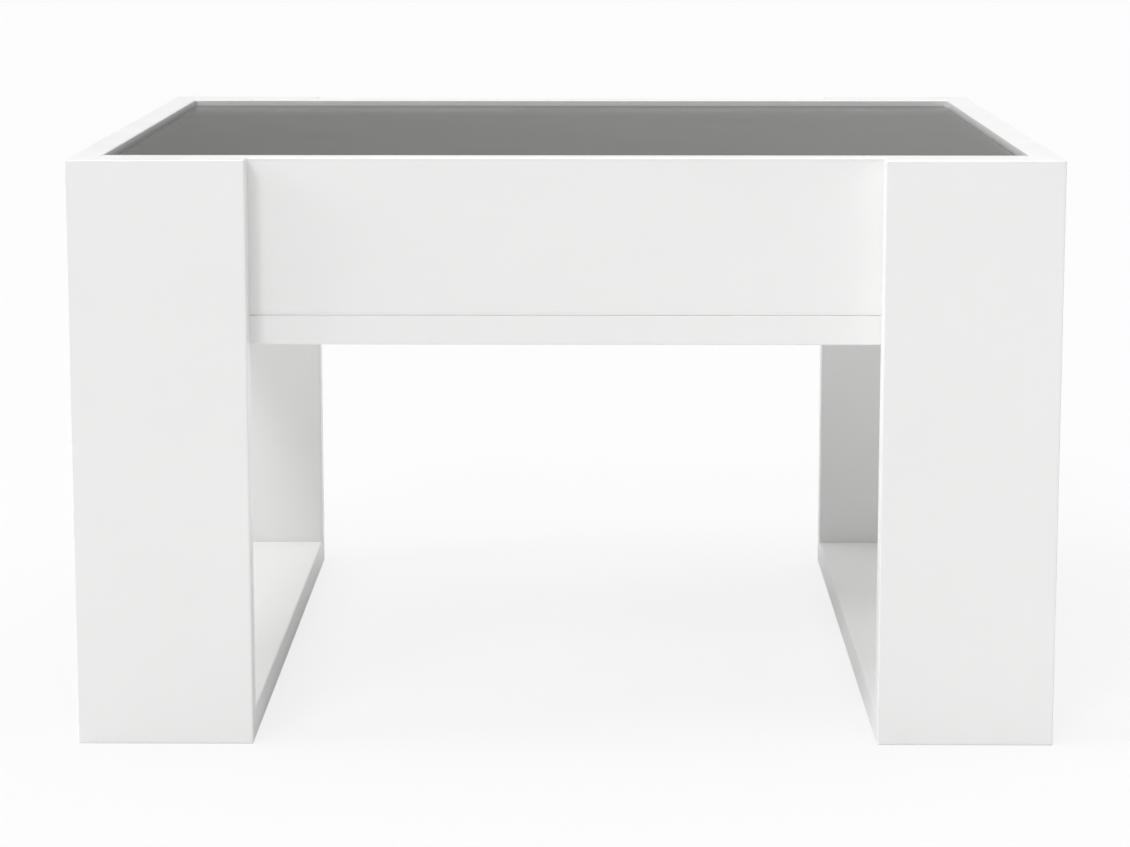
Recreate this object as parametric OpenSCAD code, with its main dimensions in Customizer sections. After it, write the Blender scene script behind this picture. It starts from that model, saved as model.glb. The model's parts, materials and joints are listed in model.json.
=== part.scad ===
// Lift top coffee table. Two open leg loops carry a shallow box, and a panel of dark
// glass, let into the rim of the box, lifts up and forward on parallel steel arms.
// +Z is up, the front faces -Y, and the origin is on the floor under the middle.

/* [Table] */
// Overall width, left to right
table_w = 600; // [560:10:800]
// Overall depth, front to back
table_d = 550; // [520:10:700]
// Overall height
table_h = 360; // [340:5:460]
// Thickness of the boards in the legs and the box
board_t = 18; // [16:1:20]
// Width of each upright leg board
leg_w = 108; // [100:2:120]
// Height of the aprons and side panels that wall the box
apron_h = 96; // [95:1:130]

/* [Lifting top] */
// Thickness of the glass
glass_t = 4; // [4:1:6]
// Thickness of the board that carries the glass
carrier_t = 16; // [15:1:18]
// Depth of the glass below the rim
glass_drop = 4; // [2:0.5:5]
// Gap between the glass and the rim
glass_gap = 2; // [1.5:0.5:3]
// Gap between the carrier board and the rim
carrier_gap = 3.5; // [3:0.5:5]

/* [Lift mechanism] */
// Length of an arm between its two pivots
arm_length = 180; // [165:5:190]
// Width of an arm
arm_w = 20; // [18:1:22]
// Thickness of an arm
arm_t = 3; // [2.5:0.5:3]
// Place of the arms' fixed lower pivots, front to back
pivot_y = -105; // [-110:1:-95]

/* [Hidden] */
$fn = 64;

white = [0.93, 0.93, 0.92];
steel = [0.72, 0.73, 0.75];
dark_glass = [0.10, 0.10, 0.09];

// Clearances: a screw or dowel in its hole, and a pivot in its running bore
fit = 0.05;
// The last pivot of each parallelogram is left loose
loose_fit = 0.3;

// Faces of the box
inner_x = table_w / 2 - board_t;
apron_y = table_d / 2 - board_t;
inner_y = apron_y - board_t;
floor_z = table_h - apron_h;
under_z = floor_z - board_t;

// The lifting top, from the glass down
tape_t = 1;
tape_w = 14;
tape_inset = 8;
glass_z = table_h - glass_drop - glass_t;
tape_z = glass_z - tape_t;
carrier_z = tape_z - carrier_t;

// Layers of the mechanism, measured inward from a side panel
plate_t = 2.5;
arm_s = 3.5;
head_s = arm_s + arm_t + 0.8;
top_s = head_s + 0.2;
flange_s = 34;

// Fixed and moving pivots, each as [y, z]
pivot_step = 35;
pivot_rise = 28;
base_low = [pivot_y, floor_z + 18];
base_high = base_low + [-pivot_step, pivot_rise];
top_low = base_low + [arm_length, 0];
top_high = base_high + [arm_length, 0];
pivot_r = 5;
rivet_head_r = 8;
washer_r = 9;

// The arms stop against a pin when they stand this steeply
lift_angle = 75;
stop_r = 4;
stop_reach = 8;
stop_gap = arm_w / 2 + stop_r + loose_fit;
stop_at = base_high
    + stop_reach * [cos(lift_angle), sin(lift_angle)]
    + stop_gap * [-sin(lift_angle), cos(lift_angle)];

// Base bracket and top bracket
base_front = base_low.x - 60;
base_rear = base_low.x + 60;
base_plate_rear = base_low.x + 26;
base_h = 65;
base_corner = 8;
top_plate_front = top_high.x - 16;
top_plate_rear = top_low.x + 16;
top_plate_z = top_low.y - 12;
top_flange_front = top_high.x - 32;
top_flange_rear = top_low.x + 40;

// Torsion spring on each mandrel
wire_r = 2;
coil_r = 11.5;
coil_s0 = 9;
coil_s1 = 30;
mandrel_r = 7;
mandrel_end_r = 12;
mandrel_end_t = 2;
spring_leg = 47;
arm_leg_z = base_low.y - arm_w / 2 - wire_r - loose_fit;
flange_leg_z = floor_z + plate_t + wire_r + 0.1;

// Rests under the closed top
pad_t = 2;
pad_r = 7;
pad_gap = 0.2;
batten_s = 18;
batten_z = carrier_z - pad_gap - pad_t - batten_s;
batten_x0 = 40;
batten_x1 = inner_x - 42;

// Push latch on the inside of the front apron
latch_y = -inner_y + 16;
latch_r = 7;
latch_bore_r = 4.6;
latch_low = floor_z + 8;
latch_high = carrier_z - 8;
latch_plate_w = 36;
latch_plate_t = 2;
latch_floor = 2;
plunger_r = 4.5;
plunger_low = latch_low + 24;
strike_t = 1.5;
strike_r = 10;
plunger_high = carrier_z - strike_t - loose_fit;
latch_spring_r = 3.9;
latch_wire_r = 0.5;
latch_turns = 7;

// Wood screws
screw_r = 2;
screw_head_r = 4;
screw_head_h = 2;
confirmat_r = 2.5;
confirmat_neck_r = 3.5;
confirmat_neck = 14;
confirmat_l = 48;

// Cam fittings and dowels
cam_r = 7.5;
cam_depth = 12.5;
cam_inset = 34;
cam_bolt_r = 3;
cam_bolt_head_r = 3.6;
cam_bolt_bite = 10;
dowel_r = 4;
dowel_l = 30;
dowel_bite = 11;

// Fastener places
leg_mid_x = (table_w - leg_w) / 2;
box_cam_z = floor_z + 30;
box_dowel_z = [floor_z + 11, table_h - 14];
foot_dowel_x = [-30, 30];
leg_screw_x = [table_w / 2 - leg_w + 16, inner_x - 44];
leg_screw_z = [floor_z + 14, floor_z + 44];
apron_confirmat_x = [0, table_w / 4];
side_confirmat_y = [0, inner_y - 48];
bracket_wall_holes = [
    [base_front + 8, floor_z + 14],
    [base_low.x - 12, floor_z + 58],
    [base_plate_rear - 8, floor_z + 46]
];
bracket_floor_holes = [[-50, 16], [-22, 24], [54, 16]];
carrier_holes = [[top_flange_front + 8, 26], [top_high.x + 4, 20], [top_flange_rear - 8, 26]];
batten_screw_x = [batten_x0 + 25, batten_x1 - 25];

// ---- Placing ----

// A part on the right, repeated as its mirror image on the left
module both_sides() {
    children();
    mirror([1, 0, 0]) children();
}

// A part at the rear, repeated as its mirror image at the front
module both_ends() {
    children();
    mirror([0, 1, 0]) children();
}

// A right rear part brought to another corner; side and end are -1 or 1
module at_corner(side, end) {
    mirror([side < 0 ? 1 : 0, 0, 0]) mirror([0, end < 0 ? 1 : 0, 0]) children();
}

module box_between(low, high) {
    translate(low) cube(high - low);
}

// A rod along X, Y or Z from a point
module rod_x(at, r, l) {
    translate(at) rotate([0, 90, 0]) cylinder(r = r, h = l);
}

module rod_y(at, r, l) {
    translate(at) rotate([-90, 0, 0]) cylinder(r = r, h = l);
}

// A plate against the right side panel, s inward from it, from its outline in Y and Z
module side_plate(s, t) {
    translate([inner_x - s - t, 0, 0]) rotate([90, 0, 90]) linear_extrude(t) children();
}

// A round pivot piece at [y, z], from s0 to s1 inward from the right side panel
module pivot_piece(at, r, s0, s1) {
    rod_x([inner_x - s1, at.x, at.y], r, s1 - s0);
}

// ---- Outlines ----

module round_rect(low, high, r) {
    translate([low.x + r, low.y]) square([high.x - low.x - 2 * r, high.y - low.y]);
    translate([low.x, low.y + r]) square([high.x - low.x, high.y - low.y - 2 * r]);
    for (x = [low.x + r, high.x - r]) {
        for (y = [low.y + r, high.y - r]) {
            translate([x, y]) circle(r);
        }
    }
}

module bar_outline(from, to, w) {
    translate([from.x, from.y - w / 2]) square([to.x - from.x, w]);
    translate(from) circle(d = w);
    translate(to) circle(d = w);
}

// ---- Fasteners; grow widens them into their holes ----

// Countersunk screw along +Z with its head's face at the origin
module flat_screw(l, grow = 0) {
    cylinder(r1 = screw_head_r + grow, r2 = screw_r + grow, h = screw_head_h);
    cylinder(r = screw_r + grow, h = l + grow);
}

// Screw with a raised head, along +Z from the face it is driven into
module pan_screw(l, grow = 0) {
    if (grow == 0) translate([0, 0, -screw_head_h]) cylinder(r = screw_head_r, h = screw_head_h);
    cylinder(r = screw_r + grow, h = l + grow);
}

module confirmat(grow = 0) {
    cylinder(r = confirmat_neck_r + grow, h = confirmat_neck);
    cylinder(r = confirmat_r + grow, h = confirmat_l + grow);
}

// Bolt of a cam fitting, along +Z from the cam's middle
module cam_bolt(grow = 0) {
    cylinder(r = cam_bolt_r + grow, h = cam_inset + cam_bolt_bite + grow);
    if (grow == 0) translate([0, 0, -1.5]) cylinder(r = cam_bolt_head_r, h = 3);
}

// Cam turned by a screwdriver: sunk along +Z, its bolt leaving along +X at mid board
module cam_lock() {
    slot_l = 9;
    slot_w = 1.6;
    slot_depth = 1.8;
    difference() {
        cylinder(r = cam_r, h = cam_depth);
        translate([0, 0, board_t / 2]) sphere(r = cam_bolt_head_r + 0.6);
        rod_x([0, 0, board_t / 2], cam_bolt_r + 0.3, cam_r + 1);
        for (turn = [0, 90]) {
            rotate([0, 0, turn + 45]) translate([-slot_l / 2, -slot_w / 2, -1])
                cube([slot_l, slot_w, slot_depth + 1]);
        }
    }
}

module dowel(grow = 0) {
    translate([0, 0, dowel_bite - dowel_l - grow]) cylinder(r = dowel_r + grow, h = dowel_l + 2 * grow);
}

// ---- Where the fasteners go, for the right rear corner, right side or rear ----

module at_leg_screws() {
    for (x = leg_screw_x) {
        for (z = leg_screw_z) {
            translate([x, inner_y, z]) rotate([-90, 0, 0]) children();
        }
    }
}

module at_box_cam() {
    translate([inner_x - cam_inset, inner_y, box_cam_z]) children();
}

module at_box_bolt() {
    at_box_cam() translate([0, board_t / 2, 0]) rotate([0, 90, 0]) children();
}

module at_box_dowels() {
    for (z = box_dowel_z) {
        translate([inner_x, inner_y + board_t / 2, z]) rotate([0, 90, 0]) children();
    }
}

module at_foot_cam() {
    translate([leg_mid_x, apron_y - cam_inset, 0]) children();
}

module at_foot_bolt() {
    at_foot_cam() translate([0, 0, board_t / 2]) rotate([-90, 0, 0]) children();
}

module at_foot_dowels() {
    for (x = foot_dowel_x) {
        translate([leg_mid_x + x, apron_y, board_t / 2]) rotate([-90, 0, 0]) children();
    }
}

module at_apron_confirmats() {
    both_sides() translate([apron_confirmat_x[1], inner_y + board_t / 2, under_z]) children();
    translate([apron_confirmat_x[0], inner_y + board_t / 2, under_z]) children();
}

module at_side_confirmats() {
    both_ends() translate([inner_x + board_t / 2, side_confirmat_y[1], under_z]) children();
    translate([inner_x + board_t / 2, side_confirmat_y[0], under_z]) children();
}

module at_bracket_wall_screws() {
    for (hole = bracket_wall_holes) {
        translate([inner_x - plate_t, hole.x, hole.y]) rotate([0, 90, 0]) children();
    }
}

module at_bracket_floor_screws() {
    for (hole = bracket_floor_holes) {
        translate([inner_x - hole.y, base_low.x + hole.x, floor_z + plate_t]) mirror([0, 0, 1]) children();
    }
}

module at_carrier_screws() {
    for (hole = carrier_holes) {
        translate([inner_x - hole.y, hole.x, carrier_z - plate_t]) children();
    }
}

module at_rear_batten_screws() {
    both_sides() for (x = batten_screw_x) {
        translate([x, inner_y - batten_s, batten_z + batten_s / 2]) rotate([-90, 0, 0]) children();
    }
}

module at_latch_screws() {
    for (x = [-13, 13]) {
        translate([x, -inner_y + latch_plate_t, (latch_low + latch_high) / 2]) rotate([90, 0, 0]) children();
    }
}

// ---- Leg loops ----

module leg_board(side, end) {
    color(white) at_corner(side, end) difference() {
        box_between([table_w / 2 - leg_w, apron_y, 0], [table_w / 2, table_d / 2, table_h]);
        at_leg_screws() pan_screw(30, fit);
        at_foot_bolt() cam_bolt(fit);
        at_foot_dowels() dowel(fit);
    }
}

module foot_board(side) {
    color(white) at_corner(side, 1) difference() {
        box_between([table_w / 2 - leg_w, -apron_y, 0], [table_w / 2, apron_y, board_t]);
        both_ends() {
            at_foot_cam() translate([0, 0, -1]) cylinder(r = cam_r + fit, h = cam_depth + fit + 1);
            at_foot_bolt() cam_bolt(fit);
            at_foot_dowels() dowel(fit);
        }
    }
}

module left_front_leg() { leg_board(-1, -1); }
module right_front_leg() { leg_board(1, -1); }
module left_rear_leg() { leg_board(-1, 1); }
module right_rear_leg() { leg_board(1, 1); }
module left_foot_board() { foot_board(-1); }
module right_foot_board() { foot_board(1); }

// ---- Box ----

// Rear apron, with the holes that both aprons share
module apron_board() {
    difference() {
        box_between([-inner_x, inner_y, floor_z], [inner_x, apron_y, table_h]);
        both_sides() {
            at_leg_screws() pan_screw(30, fit);
            at_box_cam() rod_y([0, -1, 0], cam_r + fit, cam_depth + fit + 1);
            at_box_bolt() cam_bolt(fit);
            at_box_dowels() dowel(fit);
        }
        at_apron_confirmats() confirmat(fit);
        at_rear_batten_screws() flat_screw(30, fit);
    }
}

module rear_apron() {
    color(white) apron_board();
}

module front_apron() {
    color(white) difference() {
        mirror([0, 1, 0]) apron_board();
        at_latch_screws() flat_screw(14, fit);
    }
}

module side_panel(side) {
    color(white) at_corner(side, 1) difference() {
        box_between([inner_x, -apron_y, floor_z], [table_w / 2, apron_y, table_h]);
        both_ends() {
            at_box_bolt() cam_bolt(fit);
            at_box_dowels() dowel(fit);
        }
        at_side_confirmats() confirmat(fit);
        at_bracket_wall_screws() flat_screw(14, fit);
    }
}

module left_side_panel() { side_panel(-1); }
module right_side_panel() { side_panel(1); }

module bottom_board() {
    color(white) difference() {
        box_between([-table_w / 2, -apron_y, under_z], [table_w / 2, apron_y, floor_z]);
        both_ends() at_apron_confirmats() translate([0, 0, -1]) confirmat_through();
        both_sides() {
            at_side_confirmats() translate([0, 0, -1]) confirmat_through();
            at_bracket_floor_screws() flat_screw(14, fit);
        }
    }
}

module confirmat_through() {
    cylinder(r = confirmat_neck_r + fit, h = confirmat_neck + 1);
    cylinder(r = confirmat_r + fit, h = confirmat_l);
}

// ---- Lifting top ----

module glass_top() {
    x = inner_x - glass_gap;
    y = inner_y - glass_gap;
    color(dark_glass) box_between([-x, -y, glass_z], [x, y, glass_z + glass_t]);
}

module glass_tapes() {
    x = inner_x - carrier_gap - tape_inset;
    y = inner_y - carrier_gap - tape_inset;
    color("black") {
        both_ends() box_between([-x, y - tape_w, tape_z], [x, y, glass_z]);
        both_sides() box_between([x - tape_w, tape_w - y + 2, tape_z], [x, y - tape_w - 2, glass_z]);
    }
}

module carrier_board() {
    x = inner_x - carrier_gap;
    y = inner_y - carrier_gap;
    color(white) difference() {
        box_between([-x, -y, carrier_z], [x, y, tape_z]);
        both_sides() at_carrier_screws() flat_screw(14, fit);
        translate([0, latch_y, carrier_z - strike_t]) flat_screw(12, fit);
    }
}

// ---- Lift mechanism ----

module base_bracket(side) {
    color(steel) at_corner(side, 1) difference() {
        union() {
            side_plate(0, plate_t) {
                round_rect([base_front, floor_z], [base_plate_rear, floor_z + base_h], base_corner);
                translate([base_front, floor_z]) square([base_plate_rear - base_front, 2 * base_corner]);
            }
            box_between([inner_x - flange_s, base_front, floor_z], [inner_x, base_rear, floor_z + plate_t]);
        }
        for (at = [base_low, base_high]) {
            pivot_piece(at, pivot_r + fit, -1, plate_t + 1);
        }
        pivot_piece(stop_at, stop_r + fit, -1, plate_t + 1);
        at_bracket_wall_screws() flat_screw(14, fit);
        at_bracket_floor_screws() flat_screw(14, fit);
    }
}

module left_base_bracket() { base_bracket(-1); }
module right_base_bracket() { base_bracket(1); }

module top_bracket(side) {
    color(steel) at_corner(side, 1) difference() {
        union() {
            side_plate(top_s, plate_t) {
                round_rect([top_plate_front, top_plate_z], [top_plate_rear, carrier_z], base_corner);
                translate([top_plate_front, carrier_z - 2 * base_corner])
                    square([top_plate_rear - top_plate_front, 2 * base_corner]);
            }
            box_between(
                [inner_x - flange_s, top_flange_front, carrier_z - plate_t],
                [inner_x - top_s, top_flange_rear, carrier_z]
            );
        }
        for (at = [top_low, top_high]) {
            pivot_piece(at, pivot_r + fit, top_s - 1, top_s + plate_t + 1);
        }
        at_carrier_screws() flat_screw(14, fit);
    }
}

module left_top_bracket() { top_bracket(-1); }
module right_top_bracket() { top_bracket(1); }

module arm(side, from, to, end_fit) {
    color(steel) at_corner(side, 1) difference() {
        side_plate(arm_s, arm_t) bar_outline(from, to, arm_w);
        pivot_piece(from, pivot_r + fit, arm_s - 1, arm_s + arm_t + 1);
        pivot_piece(to, pivot_r + end_fit, arm_s - 1, arm_s + arm_t + 1);
    }
}

module left_lower_arm() { arm(-1, base_low, top_low, fit); }
module right_lower_arm() { arm(1, base_low, top_low, fit); }
module left_upper_arm() { arm(-1, base_high, top_high, loose_fit); }
module right_upper_arm() { arm(1, base_high, top_high, loose_fit); }

// Lower fixed pivots, drawn out inward to hold the spring coils
module spring_mandrels() {
    color(steel) both_sides() {
        pivot_piece(base_low, pivot_r, 0, head_s);
        pivot_piece(base_low, mandrel_r, head_s, coil_s1 + 1);
        pivot_piece(base_low, mandrel_end_r, coil_s1 + 1, coil_s1 + 1 + mandrel_end_t);
    }
}

module base_rivets() {
    color(steel) both_sides() {
        pivot_piece(base_high, pivot_r, 0, head_s);
        pivot_piece(base_high, rivet_head_r, head_s, head_s + 2);
    }
}

// Moving pivots, held in the top brackets, with their heads outside the arms
module top_rivets() {
    color(steel) both_sides() for (at = [top_low, top_high]) {
        pivot_piece(at, rivet_head_r, 1.2, arm_s - 0.4);
        pivot_piece(at, pivot_r, 1.2, top_s + plate_t);
        pivot_piece(at, rivet_head_r - 1, top_s + plate_t, top_s + plate_t + 1.5);
    }
}

module stop_pins() {
    color(steel) both_sides() {
        pivot_piece(stop_at, stop_r, 0, arm_s + arm_t + 0.5);
    }
}

module washer(at, s0, s1) {
    difference() {
        pivot_piece(at, washer_r, s0, s1);
        pivot_piece(at, pivot_r + fit, s0 - 1, s1 + 1);
    }
}

module base_washers() {
    color("ivory") both_sides() for (at = [base_low, base_high]) {
        washer(at, plate_t, arm_s - 0.1);
        washer(at, arm_s + arm_t + 0.1, head_s);
    }
}

module top_washers() {
    color("ivory") both_sides() for (at = [top_low, top_high]) {
        washer(at, arm_s + arm_t + 0.1, top_s);
    }
}

// Torsion spring: its long turns as one sleeve, one leg under the arm and one on the bracket
module lift_spring(side) {
    arm_leg_s = coil_s0 + wire_r;
    flange_leg_s = coil_s1 - wire_r;
    color("dimgray") at_corner(side, 1) {
        difference() {
            pivot_piece(base_low, coil_r + wire_r, coil_s0, coil_s1);
            pivot_piece(base_low, coil_r - wire_r, coil_s0 - 1, coil_s1 + 1);
        }
        difference() {
            union() {
                rod_y([inner_x - arm_leg_s, base_low.x, arm_leg_z], wire_r, spring_leg);
                rod_y([inner_x - flange_leg_s, base_low.x, flange_leg_z], wire_r, spring_leg);
            }
            pivot_piece(base_low, coil_r, coil_s0 - 1, coil_s1 + 1);
        }
        rod_x([inner_x - arm_leg_s, base_low.x + spring_leg, arm_leg_z], wire_r, arm_leg_s - arm_s);
        translate([inner_x - arm_leg_s, base_low.x + spring_leg, arm_leg_z]) sphere(r = wire_r);
    }
}

module left_spring() { lift_spring(-1); }
module right_spring() { lift_spring(1); }

// ---- Rests and latch ----

module batten(x0, x1) {
    box_between([x0, inner_y - batten_s, batten_z], [x1, inner_y, batten_z + batten_s]);
}

module front_right_batten() {
    color("burlywood") difference() {
        mirror([0, 1, 0]) batten(batten_x0, batten_x1);
        mirror([0, 1, 0]) at_rear_batten_screws() flat_screw(30, fit);
    }
}

module front_left_batten() {
    mirror([1, 0, 0]) front_right_batten();
}

module rear_batten() {
    color("burlywood") difference() {
        batten(-batten_x1, batten_x1);
        at_rear_batten_screws() flat_screw(30, fit);
    }
}

module rest_pads() {
    color("dimgray") both_sides() both_ends() {
        translate([(batten_x0 + batten_x1) / 2, inner_y - batten_s + pad_r, batten_z + batten_s])
            cylinder(r = pad_r, h = pad_t);
    }
}

module latch_housing() {
    color("whitesmoke") difference() {
        union() {
            translate([0, latch_y, latch_low]) cylinder(r = latch_r, h = latch_high - latch_low);
            box_between(
                [-latch_plate_w / 2, -inner_y, latch_low + 8],
                [latch_plate_w / 2, -inner_y + latch_plate_t, latch_high - 8]
            );
            box_between([-latch_r, -inner_y, latch_low + 8], [latch_r, latch_y, latch_high - 8]);
        }
        translate([0, latch_y, latch_low + latch_floor]) cylinder(r = latch_bore_r, h = latch_high);
        at_latch_screws() flat_screw(14, fit);
    }
}

module latch_plunger() {
    color("gray") translate([0, latch_y, plunger_low]) cylinder(r = plunger_r, h = plunger_high - plunger_low);
}

// Compression spring under the plunger, as a stack of closed turns on a thin tube
module latch_spring() {
    low = latch_low + latch_floor;
    high = plunger_low;
    pitch = (high - low) / latch_turns;
    color("silver") translate([0, latch_y, low]) rotate_extrude() {
        translate([latch_spring_r - latch_wire_r, 0]) square([latch_wire_r, high - low]);
        for (turn = [0 : latch_turns - 1]) {
            translate([latch_spring_r, (turn + 0.5) * pitch]) circle(latch_wire_r);
        }
    }
}

module latch_strike() {
    color(steel) difference() {
        translate([0, latch_y, carrier_z - strike_t]) cylinder(r = strike_r, h = strike_t);
        translate([0, latch_y, carrier_z - strike_t]) flat_screw(12, fit);
    }
}

// ---- Fastener groups ----

module box_cam_locks() {
    color(steel) both_sides() both_ends() at_box_cam() rotate([-90, 0, 0]) cam_lock();
}

module box_cam_bolts() {
    color(steel) both_sides() both_ends() at_box_bolt() cam_bolt();
}

module box_dowels() {
    color("burlywood") both_sides() both_ends() at_box_dowels() dowel();
}

module foot_cam_locks() {
    color(steel) both_sides() both_ends() at_foot_cam() rotate([0, 0, 90]) cam_lock();
}

module foot_cam_bolts() {
    color(steel) both_sides() both_ends() at_foot_bolt() cam_bolt();
}

module foot_dowels() {
    color("burlywood") both_sides() both_ends() at_foot_dowels() dowel();
}

module leg_screws() {
    color(steel) both_sides() both_ends() at_leg_screws() pan_screw(30);
}

module bottom_screws() {
    color(steel) {
        both_ends() at_apron_confirmats() confirmat();
        both_sides() at_side_confirmats() confirmat();
    }
}

module bracket_screws() {
    color(steel) both_sides() {
        at_bracket_wall_screws() flat_screw(14);
        at_bracket_floor_screws() flat_screw(14);
    }
}

module carrier_screws() {
    color(steel) both_sides() at_carrier_screws() flat_screw(14);
}

module batten_screws() {
    color(steel) both_ends() at_rear_batten_screws() flat_screw(30);
}

module latch_screws() {
    color(steel) at_latch_screws() flat_screw(14);
}

module strike_screw() {
    color(steel) translate([0, latch_y, carrier_z - strike_t]) flat_screw(12);
}

left_front_leg();
right_front_leg();
left_rear_leg();
right_rear_leg();
left_foot_board();
right_foot_board();
front_apron();
rear_apron();
left_side_panel();
right_side_panel();
bottom_board();
glass_top();
glass_tapes();
carrier_board();
left_base_bracket();
right_base_bracket();
left_top_bracket();
right_top_bracket();
left_lower_arm();
right_lower_arm();
left_upper_arm();
right_upper_arm();
spring_mandrels();
base_rivets();
top_rivets();
stop_pins();
base_washers();
top_washers();
left_spring();
right_spring();
front_left_batten();
front_right_batten();
rear_batten();
rest_pads();
latch_housing();
latch_plunger();
latch_spring();
latch_strike();
box_cam_locks();
box_cam_bolts();
box_dowels();
foot_cam_locks();
foot_cam_bolts();
foot_dowels();
leg_screws();
bottom_screws();
bracket_screws();
carrier_screws();
batten_screws();
latch_screws();
strike_screw();
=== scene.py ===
"""Lift top coffee table: the finished model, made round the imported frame.

Two leg loops of white board carry a shallow box. A panel of dark glass on a carrier board
closes the box, and lifts up and forward on parallel steel arms, helped by torsion springs.
Lengths are in metres. Places come from the frame, and each class holds only the sizes of
the details that it adds.
"""

import json
import logging
import math
from dataclasses import dataclass, field
from enum import Enum
from typing import Iterable, Sequence

import bmesh
import bpy
from mathutils import Matrix, Vector

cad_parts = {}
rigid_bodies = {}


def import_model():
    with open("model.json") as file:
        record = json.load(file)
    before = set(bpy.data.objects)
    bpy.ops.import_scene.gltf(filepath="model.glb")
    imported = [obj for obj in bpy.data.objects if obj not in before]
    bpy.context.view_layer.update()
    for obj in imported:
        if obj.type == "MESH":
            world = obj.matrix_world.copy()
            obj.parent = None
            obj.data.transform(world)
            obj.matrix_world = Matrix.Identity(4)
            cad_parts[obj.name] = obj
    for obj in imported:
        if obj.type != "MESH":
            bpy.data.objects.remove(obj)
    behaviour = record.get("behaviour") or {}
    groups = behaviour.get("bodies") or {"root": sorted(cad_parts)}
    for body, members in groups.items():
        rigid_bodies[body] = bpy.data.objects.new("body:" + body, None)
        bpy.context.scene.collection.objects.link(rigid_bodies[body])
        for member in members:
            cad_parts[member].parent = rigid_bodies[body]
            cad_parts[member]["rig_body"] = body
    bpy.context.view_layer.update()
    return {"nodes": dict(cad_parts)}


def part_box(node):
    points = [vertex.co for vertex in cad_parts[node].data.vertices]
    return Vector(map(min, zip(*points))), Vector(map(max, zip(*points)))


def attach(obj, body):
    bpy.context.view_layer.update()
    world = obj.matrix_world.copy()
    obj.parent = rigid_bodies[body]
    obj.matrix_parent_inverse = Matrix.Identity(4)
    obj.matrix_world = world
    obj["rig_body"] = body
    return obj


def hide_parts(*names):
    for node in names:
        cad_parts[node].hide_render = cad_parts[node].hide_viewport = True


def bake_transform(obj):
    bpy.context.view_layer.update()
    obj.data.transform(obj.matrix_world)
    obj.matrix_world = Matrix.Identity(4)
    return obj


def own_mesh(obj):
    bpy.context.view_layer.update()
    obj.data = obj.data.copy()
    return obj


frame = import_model()
log = logging.getLogger("lift_top_table")

Profile = Sequence[tuple[float, float]]
Colour = tuple[float, float, float]

MM = 0.001
# Points nearer than this are one point.
WELD = 1e-6
# How much wider a hole is than what sits in it, and how far outside a board its cutter starts.
HOLE_FIT = 0.05 * MM
OUTSIDE = 1.0 * MM
# A fastener's end is measured over this depth, and solids are put in order to this many digits.
END_DEPTH = 0.1 * MM
PLACE_DIGITS = 5
# Angles between faces: shaded smooth below the first, merged below the next, eased above the last.
SMOOTH_BELOW = math.radians(38)
FLAT_BELOW = math.radians(0.5)
SHARP_ABOVE = math.radians(40)
# A rounding takes at most this share of each straight run, and a wire is this wide at its cut ends.
ROUNDED_SHARE = 0.45
WIRE_END = 0.8
# Straight pieces round a bore, a turned piece and a pivot or cam.
BORE_STEPS = 32
TURNED_STEPS = 48
PIVOT_STEPS = 56
# Most of a cloudy pattern lies between the first two, and its middle between the last two.
CLOUD_LOW, CLOUD_HIGH = 0.3, 0.7
PATCH_LOW, PATCH_HIGH = 0.35, 0.65


# ---- Directions ----


class Axis(Enum):
    """A frame axis that a board's thickness, a grain or a shaft follows."""

    X = 0
    Y = 1
    Z = 2

    @property
    def others(self) -> tuple[int, int]:
        """The numbers of the other two axes, in turning order."""
        return (self.value + 1) % 3, (self.value + 2) % 3

    @property
    def unit(self) -> Vector:
        """A unit vector along the axis."""
        return Vector([float(k == self.value) for k in range(3)])

    def stretch(self, share: float) -> Vector:
        """A pattern's scale that draws it out along this axis."""
        return Vector([share if k == self.value else 1.0 for k in range(3)])


def placed(at: Vector, way: Vector) -> Matrix:
    """Gives the move that takes a shape made along +Z to where it belongs.

    Args:
        at: Where the shape's origin goes.
        way: Which way its +Z points.

    Returns:
        The turn and shift in one matrix.
    """
    turn = Vector((0, 0, 1)).rotation_difference(way).to_matrix().to_4x4()
    return Matrix.Translation(at) @ turn


# ---- Outlines ----


def eased(profile: Profile, radius: float, steps: int = 3) -> list[tuple[float, float]]:
    """Rounds the inner corners of an open outline.

    Args:
        profile: The outline's corners as (radius, height).
        radius: How far from each corner the rounding starts.
        steps: Straight pieces in each rounding.

    Returns:
        The outline with each inner corner drawn as a short curve.
    """
    points = [Vector(p) for p in profile]
    made = [points[0]]
    for before, corner, after in zip(points, points[1:], points[2:]):
        shorter = min((before - corner).length, (after - corner).length)
        reach = min(radius, shorter * ROUNDED_SHARE)
        start = corner + (before - corner).normalized() * reach
        end = corner + (after - corner).normalized() * reach
        for k in range(steps + 1):
            t = k / steps
            made.append(start * (1 - t) ** 2 + corner * 2 * t * (1 - t) + end * t**2)
    made.append(points[-1])
    return [(p.x, p.y) for p in made]


def dome(radius: float, height: float, base: float, steps: int = 6) -> list[tuple[float, float]]:
    """Draws a shallow dome from its middle to its rim.

    Args:
        radius: The dome's radius.
        height: Height of its middle.
        base: Height of its rim.
        steps: Straight pieces from middle to rim.

    Returns:
        The dome's outline as (radius, height).
    """
    turns = [math.pi / 2 * k / steps for k in range(steps + 1)]
    return [(radius * math.sin(a), base + (height - base) * math.cos(a)) for a in turns]


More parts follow.
